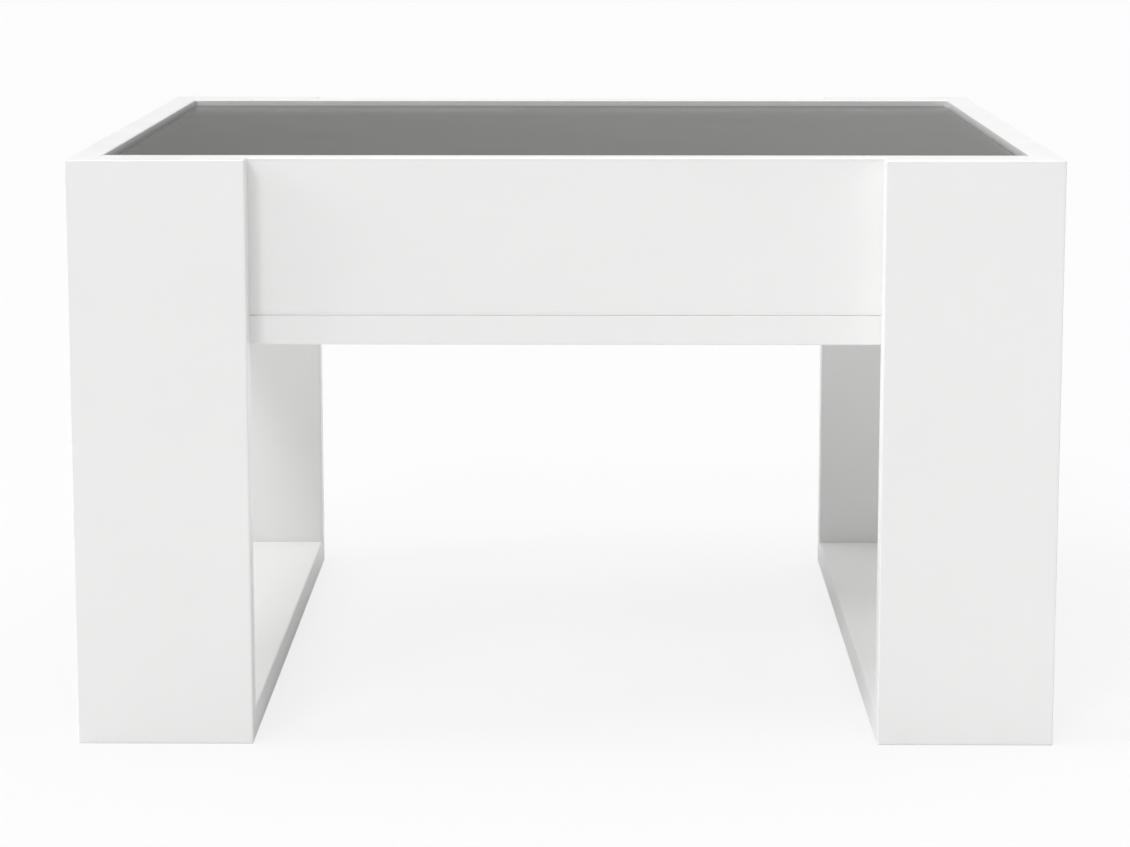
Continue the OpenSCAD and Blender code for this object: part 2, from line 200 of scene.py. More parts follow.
def rounded_ring(half: tuple[float, float], corner: float, steps: int = 3) -> list[tuple[float, float]]:
    """Draws a rectangle with round corners about the origin.

    Args:
        half: Half its width and half its height.
        corner: Radius of its corners; 0 makes them sharp.
        steps: Straight pieces in each corner.

    Returns:
        The rectangle's points, the same number whatever the radius.
    """
    points = []
    for quarter, (sx, sy) in enumerate([(1, 1), (-1, 1), (-1, -1), (1, -1)]):
        for k in range(steps + 1):
            turn = math.pi / 2 * (quarter + k / steps)
            x = sx * (half[0] - corner) + corner * math.cos(turn)
            y = sy * (half[1] - corner) + corner * math.sin(turn)
            points.append((x, y))
    return points


# ---- Solids ----


@dataclass(frozen=True)
class Hairline:
    """The fine joint that an edge band leaves on a board's faces."""

    inset: float = 1.0 * MM
    width: float = 0.22 * MM
    depth: float = 0.10 * MM


@dataclass(frozen=True)
class Solid:
    """One closed solid of a frame node, such as a single screw of a group."""

    low: Vector
    high: Vector
    points: tuple[Vector, ...]

    @property
    def middle(self) -> Vector:
        """The middle of its box."""
        return (self.low + self.high) / 2

    @property
    def size(self) -> Vector:
        """The size of its box."""
        return self.high - self.low

    @property
    def long_axis(self) -> Axis:
        """The axis along its longest side."""
        return max(Axis, key=lambda axis: self.size[axis.value])

    def end(self, axis: Axis, way: int) -> Vector:
        """Finds the middle of one end.

        Args:
            axis: The axis that the end lies across.
            way: -1 for the low end, +1 for the high end.

        Returns:
            The middle of that face of its box.
        """
        at = self.middle.copy()
        at[axis.value] = (self.high if way > 0 else self.low)[axis.value]
        return at

    def meets(self, low: Vector, high: Vector) -> bool:
        """Whether it goes more than a millimetre into a box."""
        return all(self.low[k] < high[k] - MM and self.high[k] > low[k] + MM for k in range(3))

    def reach(self, axis: Axis, way: int) -> float:
        """Finds how wide the solid is at one end.

        Args:
            axis: The axis that it is turned about.
            way: -1 for its low end, +1 for its high end.

        Returns:
            The largest distance from its axis among the points at that end.
        """
        end = self.end(axis, way)
        near = [p - end for p in self.points if abs((p - end)[axis.value]) < END_DEPTH]
        flat = [math.hypot(*(d[k] for k in axis.others)) for d in near]
        return max(flat, default=0.0)

    def headed(self) -> Matrix:
        """Finds the place of a fastener.

        Returns:
            The place with its origin at the wider end, and +Z towards the tip.
        """
        axis = self.long_axis
        head = 1 if self.reach(axis, 1) > self.reach(axis, -1) else -1
        return placed(self.end(axis, head), -head * axis.unit)

    def inward(self) -> Matrix:
        """The place of a pivot piece: its origin at its outer end, and +Z towards the middle."""
        side = 1 if self.middle.x > 0 else -1
        return placed(self.end(Axis.X, side), Vector((-side, 0, 0)))


def solids_of(node: str) -> list[Solid]:
    """Splits a frame node into its closed solids.

    Args:
        node: The node's name.

    Returns:
        Its solids, in order of place.
    """
    bm = bmesh.new()
    bm.from_mesh(frame["nodes"][node].data)
    bmesh.ops.remove_doubles(bm, verts=bm.verts, dist=WELD)
    seen: set[int] = set()
    found = []
    for start in bm.verts:
        if start.index in seen:
            continue
        seen.add(start.index)
        open_ends, points = [start], []
        while open_ends:
            vert = open_ends.pop()
            points.append(vert.co.copy())
            for edge in vert.link_edges:
                other = edge.other_vert(vert)
                if other.index not in seen:
                    seen.add(other.index)
                    open_ends.append(other)
        low = Vector([min(p[k] for p in points) for k in range(3)])
        high = Vector([max(p[k] for p in points) for k in range(3)])
        found.append(Solid(low, high, tuple(points)))
    bm.free()
    return sorted(found, key=lambda s: tuple(round(v, PLACE_DIGITS) for v in s.middle))


class Shape:
    """A mesh in the making: solids are added and cut, and then it becomes a piece."""

    def __init__(self) -> None:
        """Starts an empty shape."""
        self.bm = bmesh.new()

    def skin(
        self, rings: Sequence[Sequence[Vector]], place: Matrix | None = None, closed: bool = False
    ) -> "Shape":
        """Covers a row of rings with faces.

        Args:
            rings: Rings of equally many points.
            place: Where the solid goes.
            closed: Whether the last ring joins the first, as in a washer.

        Returns:
            The shape itself.
        """
        at = place or Matrix.Identity(4)
        rows = [[self.bm.verts.new(at @ p) for p in ring] for ring in rings]
        pairs = list(zip(rows, rows[1:]))
        if closed:
            pairs.append((rows[-1], rows[0]))
        else:
            self.bm.faces.new(list(reversed(rows[0])))
            self.bm.faces.new(rows[-1])
        count = len(rows[0])
        for a, b in pairs:
            for k in range(count):
                j = (k + 1) % count
                self.bm.faces.new((a[k], a[j], b[j], b[k]))
        return self

    def turned(
        self, profile: Profile, place: Matrix | None = None, steps: int = 40, closed: bool = False
    ) -> "Shape":
        """Adds a solid turned about its axis.

        Args:
            profile: Its outline as (radius, height).
            place: Where it goes.
            steps: Straight pieces round it.
            closed: Whether the outline is a loop clear of the axis.

        Returns:
            The shape itself.
        """
        turns = [2 * math.pi * k / steps for k in range(steps)]
        rings = [[Vector((r * math.cos(a), r * math.sin(a), h)) for a in turns] for r, h in profile]
        return self.skin(rings, place, closed)

    def board(
        self, low: Vector, high: Vector, axis: Axis, ease: float, corner: float,
        hairline: Hairline | None = None, steps: int = 3,
    ) -> "Shape":
        """Adds a flat board with eased edges.

        Args:
            low: Its lowest corner.
            high: Its highest corner.
            axis: The axis through its thickness.
            ease: Radius of the rounding between its faces and its edges.
            corner: Radius of its four corners.
            hairline: The edge band's joint on both faces, if it has one.
            steps: Straight pieces in each rounding.

        Returns:
            The shape itself.
        """
        u, v = axis.others
        size, middle = high - low, (low + high) / 2
        half_t = size[axis.value] / 2
        rows: list[tuple[float, float]] = []
        if hairline:
            rows.append((hairline.inset + hairline.width, half_t))
            rows.append((hairline.inset + hairline.width / 2, half_t - hairline.depth))
            rows.append((hairline.inset, half_t))
        for k in range(steps + 1):
            turn = math.pi / 2 * k / steps
            rows.append((ease * (1 - math.sin(turn)), half_t - ease * (1 - math.cos(turn))))
        rows += [(inset, -h) for inset, h in reversed(rows)]
        rings = []
        for inset, h in rows:
            half = (size[u] / 2 - inset, size[v] / 2 - inset)
            ring = []
            for a, b in rounded_ring(half, max(corner - inset, 0.0), steps):
                point = middle.copy()
                point[u] += a
                point[v] += b
                point[axis.value] += h
                ring.append(point)
            rings.append(ring)
        return self.skin(rings)

    def wire(self, path: Sequence[Vector], radius: float, steps: int = 14) -> "Shape":
        """Adds a round wire along a path, with slightly rounded ends.

        Args:
            path: The points that it follows.
            radius: The wire's radius.
            steps: Straight pieces round it.

        Returns:
            The shape itself.
        """
        ways = [(b - a).normalized() for a, b in zip(path, path[1:])]
        ways = [ways[0], *[(a + b).normalized() for a, b in zip(ways, ways[1:])], ways[-1]]
        side = ways[0].orthogonal().normalized()
        rings = []
        for n, (at, way) in enumerate(zip(path, ways)):
            side = (side - way * side.dot(way)).normalized()
            over = way.cross(side)
            size = radius * (WIRE_END if n in (0, len(path) - 1) else 1.0)
            turns = [2 * math.pi * k / steps for k in range(steps)]
            rings.append([at + size * (math.cos(a) * side + math.sin(a) * over) for a in turns])
        return self.skin(rings)

    def stamp(self, mesh: bpy.types.Mesh, place: Matrix) -> "Shape":
        """Adds a copy of a finished mesh.

        Args:
            mesh: The mesh.
            place: Where the copy goes.

        Returns:
            The shape itself.
        """
        old = len(self.bm.verts)
        self.bm.from_mesh(mesh)
        self.bm.verts.ensure_lookup_table()
        bmesh.ops.transform(self.bm, matrix=place, verts=self.bm.verts[old:])
        return self

    def node(self, name: str, ease: float) -> "Shape":
        """Adds a frame node's own solids, with their sharp edges taken off.

        Args:
            name: The node's name.
            ease: Width of the small chamfer along each sharp edge.

        Returns:
            The shape itself.
        """
        self.bm.from_mesh(frame["nodes"][name].data)
        self.weld()
        bmesh.ops.dissolve_limit(
            self.bm, angle_limit=FLAT_BELOW, verts=self.bm.verts, edges=self.bm.edges
        )
        sharp = [
            e for e in self.bm.edges
            if len(e.link_faces) == 2 and e.calc_face_angle(0.0) > SHARP_ABOVE
        ]
        bmesh.ops.bevel(
            self.bm, geom=sharp, offset=ease, segments=2, profile=0.5,
            affect="EDGES", clamp_overlap=True,
        )
        return self

    def weld(self) -> None:
        """Joins points that fall together and turns every face outward."""
        bmesh.ops.remove_doubles(self.bm, verts=self.bm.verts, dist=WELD)
        bmesh.ops.recalc_face_normals(self.bm, faces=self.bm.faces)

    def mesh(self, name: str) -> bpy.types.Mesh:
        """Ends the making and gives the mesh.

        Args:
            name: The mesh's name.

        Returns:
            The welded mesh, shaded smooth with its sharp edges kept.
        """
        self.weld()
        made = bpy.data.meshes.new(name)
        self.bm.to_mesh(made)
        self.bm.free()
        made.shade_smooth()
        made.set_sharp_from_angle(angle=SMOOTH_BELOW)
        return made

    def cut(self, tool: "Shape") -> "Shape":
        """Takes another shape away from this one.

        Args:
            tool: The shape to take away; it is used up.

        Returns:
            A new shape with what is left.
        """
        stock = bpy.data.objects.new("stock", self.mesh("stock"))
        cutter = bpy.data.objects.new("cutter", tool.mesh("cutter"))
        for obj in (stock, cutter):
            bpy.context.scene.collection.objects.link(obj)
        boolean = stock.modifiers.new("cut", "BOOLEAN")
        boolean.operation = "DIFFERENCE"
        boolean.solver = "EXACT"
        boolean.object = cutter
        bpy.context.view_layer.update()
        cut = bpy.data.meshes.new_from_object(stock.evaluated_get(bpy.context.evaluated_depsgraph_get()))
        left = Shape()
        left.bm.from_mesh(cut)
        for obj in (stock, cutter):
            data = obj.data
            bpy.data.objects.remove(obj)
            bpy.data.meshes.remove(data)
        bpy.data.meshes.remove(cut)
        return left


# ---- Finishes ----


@dataclass(frozen=True)
class Patches:
    """Soft patches in a finish, and how far its colour and roughness stray in them."""

    per_metre: float
    colour: float
    roughness: float


@dataclass(frozen=True)
class Relief:
    """A cloudy relief in a finish's surface."""

    per_metre: float
    detail: float
    strength: float
    height: float


class Graph:
    """The shader of one finish, with short calls that add and join its nodes."""

    def __init__(self, name: str) -> None:
        """Starts a material with its plain shader.

        Args:
            name: The material's name.
        """
        self.material = bpy.data.materials.new(name)
        self.material.use_nodes = True
        self.tree = self.material.node_tree
        self.shader = self.tree.nodes["Principled BSDF"]
        self.place = self.add("ShaderNodeTexCoord").outputs["Object"]

    def add(self, kind: str, **settings: object) -> bpy.types.Node:
        """Adds a node.

        Args:
            kind: The kind of node.
            settings: The fields to set on it.

        Returns:
            The node.
        """
        node = self.tree.nodes.new(kind)
        for name, value in settings.items():
            setattr(node, name, value)
        return node

    def join(self, start: bpy.types.NodeSocket, end: bpy.types.NodeSocket) -> None:
        """Joins an output to an input."""
        self.tree.links.new(start, end)

    def fix(self, **values: object) -> None:
        """Sets constant inputs of the shader; an underscore stands for a space."""
        for name, value in values.items():
            self.shader.inputs[name.replace("_", " ")].default_value = value

    def noise(
        self, scale: float, detail: float = 3.0, stretch: Vector | None = None
    ) -> bpy.types.NodeSocket:
        """Adds a cloudy pattern.

        Args:
            scale: Patches in a metre.
            detail: How many finer layers lie over it.
            stretch: How much finer the pattern is along each axis.

        Returns:
            The pattern, about 0.5.
        """
        start = self.place
        if stretch is not None:
            mapping = self.add("ShaderNodeMapping")
            mapping.inputs["Scale"].default_value = stretch
            self.join(self.place, mapping.inputs["Vector"])
            start = mapping.outputs["Vector"]
        texture = self.add("ShaderNodeTexNoise")
        texture.inputs["Scale"].default_value = scale
        texture.inputs["Detail"].default_value = detail
        self.join(start, texture.inputs["Vector"])
        return texture.outputs["Fac"]

    def ramp(
        self, pattern: bpy.types.NodeSocket, stops: Sequence[tuple[float, Colour]]
    ) -> bpy.types.NodeSocket:
        """Colours a pattern.

        Args:
            pattern: The pattern, from 0 to 1.
            stops: Places and the colours there.

        Returns:
            The coloured pattern.
        """
        node = self.add("ShaderNodeValToRGB")
        marks = node.color_ramp.elements
        while len(marks) < len(stops):
            marks.new(0.5)
        for mark, (at, colour) in zip(marks, stops):
            mark.position = at
            mark.color = (*colour, 1.0)
        self.join(pattern, node.inputs["Fac"])
        return node.outputs["Color"]

    def spread(
        self, pattern: bpy.types.NodeSocket, low: float, high: float
    ) -> bpy.types.NodeSocket:
        """Stretches the middle of a pattern over a range of values.

        Args:
            pattern: The pattern.
            low: The value where the pattern is low.
            high: The value where it is high.

        Returns:
            The stretched pattern.
        """
        node = self.add("ShaderNodeMapRange")
        node.inputs["From Min"].default_value = CLOUD_LOW
        node.inputs["From Max"].default_value = CLOUD_HIGH
        node.inputs["To Min"].default_value = low
        node.inputs["To Max"].default_value = high
        self.join(pattern, node.inputs["Value"])
        return node.outputs["Result"]

    def relief(self, pattern: bpy.types.NodeSocket, strength: float, height: float) -> None:
        """Raises the surface with a pattern, over any relief that is there.

        Args:
            pattern: The pattern.
            strength: How much of the relief shows.
            height: How high the pattern's bright parts stand.
        """
        node = self.add("ShaderNodeBump")
        node.inputs["Strength"].default_value = strength
        node.inputs["Distance"].default_value = height
        self.join(pattern, node.inputs["Height"])
        socket = self.shader.inputs["Normal"]
        if socket.is_linked:
            self.join(socket.links[0].from_socket, node.inputs["Normal"])
        self.join(node.outputs["Normal"], socket)

    def emboss(self, relief: Relief) -> None:
        """Raises the surface with a cloudy relief."""
        self.relief(self.noise(relief.per_metre, relief.detail), relief.strength, relief.height)


def tint(colour: Colour, share: float) -> Colour:
    """A colour made lighter or darker by a share."""
    return tuple(min(1.0, c * share) for c in colour)


@dataclass(frozen=True)
class Finish:
    """A finish: the name of its slot, its colour and its gloss."""

    name: str
    slot: str
    colour: Colour
    roughness: float

    def dress(self, graph: Graph) -> None:
        """Adds the patterns of this kind of finish to its shader."""
        raise NotImplementedError

    def mottle(self, graph: Graph, patches: Patches) -> None:
        """Varies the colour and gloss in soft patches.

        Args:
            graph: The shader to work on.
            patches: The patches.
        """
        dark, light = tint(self.colour, 1 - patches.colour), tint(self.colour, 1 + patches.colour)
        tones = graph.ramp(graph.noise(patches.per_metre), [(PATCH_LOW, dark), (PATCH_HIGH, light)])
        graph.join(tones, graph.shader.inputs["Base Color"])
        self.vary_gloss(graph, graph.noise(patches.per_metre * 3), -patches.roughness, patches.roughness)

    def vary_gloss(
        self, graph: Graph, pattern: bpy.types.NodeSocket, down: float, up: float
    ) -> None:
        """Varies the roughness with a pattern.

        Args:
            graph: The shader to work on.
            pattern: The pattern.
            down: The change where the pattern is low.
            up: The change where it is high.
        """
        gloss = graph.spread(pattern, self.roughness + down, self.roughness + up)
        graph.join(gloss, graph.shader.inputs["Roughness"])

    def material(self) -> bpy.types.Material:
        """Gives the finish's material, made once.

        Returns:
            The material.
        """
        made = bpy.data.materials.get(self.name)
        if made is None:
            graph = Graph(self.name)
            self.dress(graph)
            made = graph.material
        return made


@dataclass(frozen=True)
class WhiteFacing(Finish):
    """White melamine facing: a hard satin film with a very fine pebbled skin."""

    patches: Patches = Patches(9.0, 0.006, 0.04)
    pebbles: Relief = Relief(1500.0, 2.0, 0.12, 0.02 * MM)
    board_wave: Relief = Relief(14.0, 1.0, 0.15, 0.15 * MM)
    refraction: float = 1.5
    coat: float = 0.12
    coat_roughness: float = 0.18

    def dress(self, graph: Graph) -> None:
        """Adds faint patches, pebbling and a thin hard coat.

        Args:
            graph: The shader to work on.
        """
        self.mottle(graph, self.patches)
        graph.emboss(self.pebbles)
        graph.emboss(self.board_wave)
        graph.fix(IOR=self.refraction, Coat_Weight=self.coat, Coat_Roughness=self.coat_roughness)


@dataclass(frozen=True)
class BlackBackedGlass(Finish):
    """Polished float glass with black paint behind it, and the faint warm green of its iron."""

    cast: Colour = (1.0, 1.0, 0.87)
    bloom: Patches = Patches(6.0, 0.05, 0.01)
    float_wave: Relief = Relief(5.0, 1.0, 0.05, 0.1 * MM)
    refraction: float = 1.52

    def dress(self, graph: Graph) -> None:
        """Adds the faint bloom of wiped glass and the slow wave of float glass.

        Args:
            graph: The shader to work on.
        """
        self.mottle(graph, self.bloom)
        graph.emboss(self.float_wave)
        graph.fix(IOR=self.refraction, Specular_Tint=(*self.cast, 1.0))


@dataclass(frozen=True)
class Plating(Finish):
    """Bright plating on sheet or turned steel, with a fine brushed or rolled grain."""

    grain: Axis = Axis.Y
    blush: Colour = (0.66, 0.70, 0.78)
    bright: float = 1.12
    blush_per_metre: float = 45.0
    stops: tuple[float, float, float] = (0.3, 0.55, 0.8)
    lines: Relief = Relief(900.0, 4.0, 0.18, 0.02 * MM)
    along: float = 0.04
    smoother: float = -0.09
    rougher: float = 0.12

    def dress(self, graph: Graph) -> None:
        """Adds the rolled grain, the plating's bluish blush and small dull spots.

        Args:
            graph: The shader to work on.
        """
        lines = graph.noise(self.lines.per_metre, self.lines.detail, self.grain.stretch(self.along))
        patches = graph.noise(self.blush_per_metre, self.lines.detail)
        colours = (self.blush, self.colour, tint(self.colour, self.bright))
        tones = graph.ramp(patches, list(zip(self.stops, colours)))
        graph.join(tones, graph.shader.inputs["Base Color"])
        self.vary_gloss(graph, lines, self.smoother, self.rougher)
        graph.relief(lines, self.lines.strength, self.lines.height)
        graph.fix(Metallic=1.0)


@dataclass(frozen=True)
class CastMetal(Finish):
    """Die cast alloy, bead blasted to an even grey grain."""

    patches: Patches = Patches(220.0, 0.12, 0.08)
    blasting: Relief = Relief(3200.0, 3.0, 0.35, 0.04 * MM)

    def dress(self, graph: Graph) -> None:
        """Adds the blasted grain.

        Args:
            graph: The shader to work on.
        """
        self.mottle(graph, self.patches)
        graph.emboss(self.blasting)
        graph.fix(Metallic=1.0)


@dataclass(frozen=True)
class SpringWire(Finish):
    """Oiled dark spring wire with drawing marks."""

    oil: Patches = Patches(160.0, 0.30, 0.10)
    scale: Relief = Relief(2400.0, 3.0, 0.25, 0.03 * MM)
    metal: float = 0.9
    oil_film: float = 0.3
    film_roughness: float = 0.2

    def dress(self, graph: Graph) -> None:
        """Adds oil patches and fine scale.

        Args:
            graph: The shader to work on.
        """
        self.mottle(graph, self.oil)
        graph.emboss(self.scale)
        graph.fix(Metallic=self.metal, Coat_Weight=self.oil_film, Coat_Roughness=self.film_roughness)


@dataclass(frozen=True)
class BareWood(Finish):
    """Unfinished wood with its grain along one axis."""

    grain: Axis = Axis.X
    rings: float = 190.0
    ring_detail: float = 4.0
    ring_strength: float = 0.3
    ring_height: float = 0.08 * MM
    late_wood: Colour = (0.70, 0.60, 0.48)
    early_wood: float = 1.08
    stops: tuple[float, float, float] = (0.30, 0.55, 0.72)
    pores_per_ring: float = 9.0
    pore_detail: float = 3.0
    pore_strength: float = 0.4
    pore_depth: float = 0.06 * MM
    along: float = 0.05
    smoother: float = -0.08
    rougher: float = 0.10

    def dress(self, graph: Graph) -> None:
        """Adds early and late wood, fine pores and a fibrous relief.

        Args:
            graph: The shader to work on.
        """
        along = self.grain.stretch(self.along)
        bands = graph.noise(self.rings, self.ring_detail, along)
        late = tuple(c * share for c, share in zip(self.colour, self.late_wood))
        colours = (tint(self.colour, self.early_wood), self.colour, late)
        tones = graph.ramp(bands, list(zip(self.stops, colours)))
        graph.join(tones, graph.shader.inputs["Base Color"])
        pores = graph.noise(self.rings * self.pores_per_ring, self.pore_detail, along)
        self.vary_gloss(graph, pores, self.smoother, self.rougher)
        graph.relief(pores, self.pore_strength, self.pore_depth)
        graph.relief(bands, self.ring_strength, self.ring_height)


@dataclass(frozen=True)
class Moulded(Finish):
    """Moulded plastic or rubber with a fine sparked texture."""

    texture: Relief = Relief(2200.0, 2.0, 0.4, 0.03 * MM)
    patches: Patches = Patches(120.0, 0.05, 0.06)
    glow: float = 0.0
    glow_depth: float = 1.0 * MM

    def dress(self, graph: Graph) -> None:
        """Adds soft patches and the mould's texture.

        Args:
            graph: The shader to work on.
        """
        self.mottle(graph, self.patches)
        graph.emboss(self.texture)
        graph.fix(Subsurface_Weight=self.glow, Subsurface_Radius=(self.glow_depth,) * 3)


@dataclass(frozen=True)
class FoamTape(Finish):
    """Closed cell foam with open bubbles at its cut faces."""

    patches: Patches = Patches(300.0, 0.15, 0.03)
    cells: float = 1400.0
    cell_strength: float = 0.6
    cell_depth: float = 0.15 * MM

    def dress(self, graph: Graph) -> None:
        """Adds the foam's cells.

        Args:
            graph: The shader to work on.
        """
        self.mottle(graph, self.patches)
        cells = graph.add("ShaderNodeTexVoronoi")
        cells.inputs["Scale"].default_value = self.cells
        graph.join(graph.place, cells.inputs["Vector"])
        graph.relief(cells.outputs["Distance"], self.cell_strength, self.cell_depth)


WHITE = WhiteFacing("white_facing", "white_board", (0.90, 0.90, 0.895), 0.36)
GLASS = BlackBackedGlass("black_backed_glass", "dark_glass", (0.018, 0.018, 0.013), 0.16)
GLASS_EDGE = BlackBackedGlass("ground_glass_edge", "dark_glass", (0.008, 0.018, 0.013), 0.40)
TAPE = FoamTape("black_foam", "bonding_tape", (0.03, 0.03, 0.03), 0.85)
SHEET_STEEL = Plating("plated_sheet", "plated_steel", (0.72, 0.73, 0.75), 0.30)
PIVOT_STEEL = Plating("turned_pivots", "pivot_steel", (0.66, 0.67, 0.70), 0.26, grain=Axis.X)
SCREW_STEEL = Plating("plated_screws", "screw_steel", (0.76, 0.76, 0.78), 0.27, grain=Axis.Z)
CAST = CastMetal("blasted_alloy", "cam_alloy", (0.60, 0.61, 0.63), 0.48)
SPRING = SpringWire("oiled_spring_wire", "spring_steel", (0.12, 0.12, 0.13), 0.36)
LATCH_WIRE = SpringWire("bright_spring_wire", "spring_steel", (0.55, 0.55, 0.57), 0.30)
SOFTWOOD = BareWood("planed_softwood", "plain_wood", (0.78, 0.62, 0.42), 0.62)
BEECH_X = BareWood("beech_along_x", "plain_wood", (0.72, 0.52, 0.34), 0.58, rings=320.0)
BEECH_Y = BareWood("beech_along_y", "plain_wood", (0.72, 0.52, 0.34), 0.58, grain=Axis.Y, rings=320.0)
COARSE = Relief(1500.0, 2.0, 0.4, 0.03 * MM)
RUBBER = Moulded("soft_rubber", "pad_rubber", (0.05, 0.05, 0.05), 0.70, texture=COARSE)
NYLON = Moulded("ivory_nylon", "pale_nylon", (0.84, 0.83, 0.78), 0.42, glow=0.25)
GREY_PLASTIC = Moulded("grey_plastic", "grey_plastic", (0.40, 0.41, 0.42), 0.40)


# ---- Pieces ----


@dataclass(frozen=True)
class Piece:
    """A finished piece, ready to be shown."""

    name: str
    node: str
    body: str
    finishes: tuple[Finish, ...]

    def show(self, shape: Shape) -> bpy.types.Object:
        """Turns a shape into the piece that stands for its frame node.

        Args:
            shape: The shape, which is used up.

        Returns:
            The piece, dressed but not yet riding on a body.
        """
        obj = bpy.data.objects.new(self.name, shape.mesh(self.name))
        bpy.context.scene.collection.objects.link(obj)
        for finish in self.finishes:
            obj.data.materials.append(finish.material())
        normals = obj.modifiers.new("flat_faces", "WEIGHTED_NORMAL")
        normals.keep_sharp = True
        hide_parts(self.node)
        log.info("%s: %d points, rides on %s", self.name, len(obj.data.vertices), self.body)
        return obj

    def fix(self, shape: Shape) -> bpy.types.Object:
        """Shows the piece and lets it ride on its body."""
        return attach(self.show(shape), self.body)


def body_of(node: str) -> str:
    """The body that a frame node belongs to."""
    return frame["nodes"][node]["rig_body"]


def piece_for(node: str, name: str, *finishes: Finish) -> Piece:
    """Describes the piece that stands for a frame node.

    Args:
        node: The node.
        name: The piece's own name.
        finishes: Its finishes.

    Returns:
        The piece, to be given a shape.
    """
    return Piece(name, node, body_of(node), finishes)


# ---- Fasteners ----


class Drive(Enum):
    """How a screw is turned."""

    CROSS = "cross recess"
    HEX = "hexagon socket"
    NONE = "no drive"


@dataclass(frozen=True)
class Thread:
    """A screw thread with sharp ridges."""

    core: float
    crest: float
    pitch: float
    flank: float = 0.26

    def radius(self, turn: float, height: float) -> float:
        """Finds the thread's radius at one place.

        Args:
            turn: The angle round the screw.
            height: The height along it.

        Returns:
            The radius there.
        """
        phase = (height / self.pitch - turn / (2 * math.pi)) % 1.0
        ridge = max(0.0, 1 - abs(phase - 0.5) / self.flank)
        return self.core + (self.crest - self.core) * ridge


@dataclass(frozen=True)
class Screw:
    """A screw along +Z with its head's outer face at the origin."""

    head: Profile
    length: float
    thread: Thread
    drive: Drive = Drive.CROSS
    point: float = 3.0 * MM
    steps: int = 18
    recess: float = 2.1 * MM
    recess_width: float = 0.75 * MM
    recess_depth: float = 1.5 * MM
    recess_taper: float = 0.35
    blade_round: float = 0.1 * MM
    key_sides: int = 6
    rows_per_pitch: int = 4
    tip: float = 0.02

    def hole(self, headed: bool) -> list[tuple[float, float]]:
        """Draws the hole that the screw sits in, a hair wider than it.

        Args:
            headed: Whether its head is sunk in this board, and not only its shank.

        Returns:
            The hole's outline, starting a little outside the board.
        """
        reach = self.length + HOLE_FIT
        crest = self.thread.crest + HOLE_FIT
        shank = [(crest, reach), (0.0, reach)]
        if not headed or self.drive is Drive.NONE:
            return [(0.0, 0.0), (crest, 0.0), *shank]
        outer = [(r + HOLE_FIT, max(h, HOLE_FIT)) for r, h in self.head]
        rim = max(range(len(outer)), key=lambda k: outer[k][0])
        mouth = [(0.0, -OUTSIDE), (outer[rim][0], -OUTSIDE)]
        return [*mouth, *outer[rim:-1], (crest, self.head[-1][1] + HOLE_FIT), *shank]

    def _rings(self) -> list[list[Vector]]:
        """Draws the head, the thread and the point.

        Returns:
            Their rings, from the head's face to the tip.
        """
        turns = [2 * math.pi * k / self.steps for k in range(self.steps)]
        rings = [[Vector((r * math.cos(a), r * math.sin(a), h)) for a in turns] for r, h in self.head]
        start = self.head[-1][1]
        rows = int((self.length - start) / (self.thread.pitch / self.rows_per_pitch))
        for n in range(1, rows + 1):
            height = start + (self.length - start) * n / rows
            narrow = min(1.0, max(self.tip, (self.length - height) / self.point))
            ring = []
            for a in turns:
                r = self.thread.radius(a, height) * narrow
                ring.append(Vector((r * math.cos(a), r * math.sin(a), height)))
            rings.append(ring)
        return rings

    def _recesses(self) -> list[Shape]:
        """Makes the tools that cut the drive into the head.

        Returns:
            The tools, to be used one after the other.
        """
        if self.drive is Drive.NONE:
            return []
        if self.drive is Drive.HEX:
            depth = 2 * self.recess_depth
            socket = [(0, -OUTSIDE), (self.recess, -OUTSIDE), (self.recess, depth), (0, depth)]
            return [Shape().turned(socket, steps=self.key_sides)]
        narrow = self.recess * self.recess_taper
        blades = []
        for turn in (0.0, math.pi / 2):
            rings = []
            for reach, h in ((self.recess, -OUTSIDE), (narrow, self.recess_depth)):
                half = (reach, self.recess_width / 2)
                ring = rounded_ring(half, self.blade_round, 1)
                rings.append([Vector((x, y, h)) for x, y in ring])
            blades.append(Shape().skin(rings, Matrix.Rotation(turn, 4, "Z")))
        return blades

    def mesh(self) -> bpy.types.Mesh:
        """Makes one screw.

        Returns:
            Its mesh.
        """
        shape = Shape().skin(self._rings())
        for recess in self._recesses():
            shape = shape.cut(recess)
        return shape.mesh("screw")


def sunk_head(radius: float = 4.0 * MM, depth: float = 2.0 * MM, shank: float = 2.0 * MM) -> Profile:
    """Draws a countersunk head with a thin rim.

    Args:
        radius: The head's radius.
        depth: The head's depth.
        shank: The shank's radius.

    Returns:
        Its outline as (radius, height).
    """
    middle, edge, rim = radius * 0.6, 0.1 * MM, 0.25 * MM
    return [(0.0, 0.0), (middle, 0.0), (radius - edge, 0.0), (radius - rim, rim), (shank, depth)]


def pan_head(radius: float = 4.0 * MM, height: float = 2.0 * MM, shank: float = 2.0 * MM) -> Profile:
    """The outline of a raised head with a domed top."""
    flank = height * 0.62
    return [*dome(radius, 0.0, flank, steps=5), (radius, height), (shank, height)]


def neck_head(radius: float = 3.5 * MM, length: float = 14.0 * MM, shank: float = 2.5 * MM) -> Profile:
    """Draws a board screw's long neck, which is also its head.

    Args:
        radius: The head's radius.
        length: The neck's length.
        shank: The shank's radius.

    Returns:
        Its outline as (radius, height).
    """
    ease = 0.4 * MM
    outline = [(0.0, 0.0), (radius - ease, 0.0), (radius, ease), (radius, length - ease)]
    return [*outline, (shank, length)]


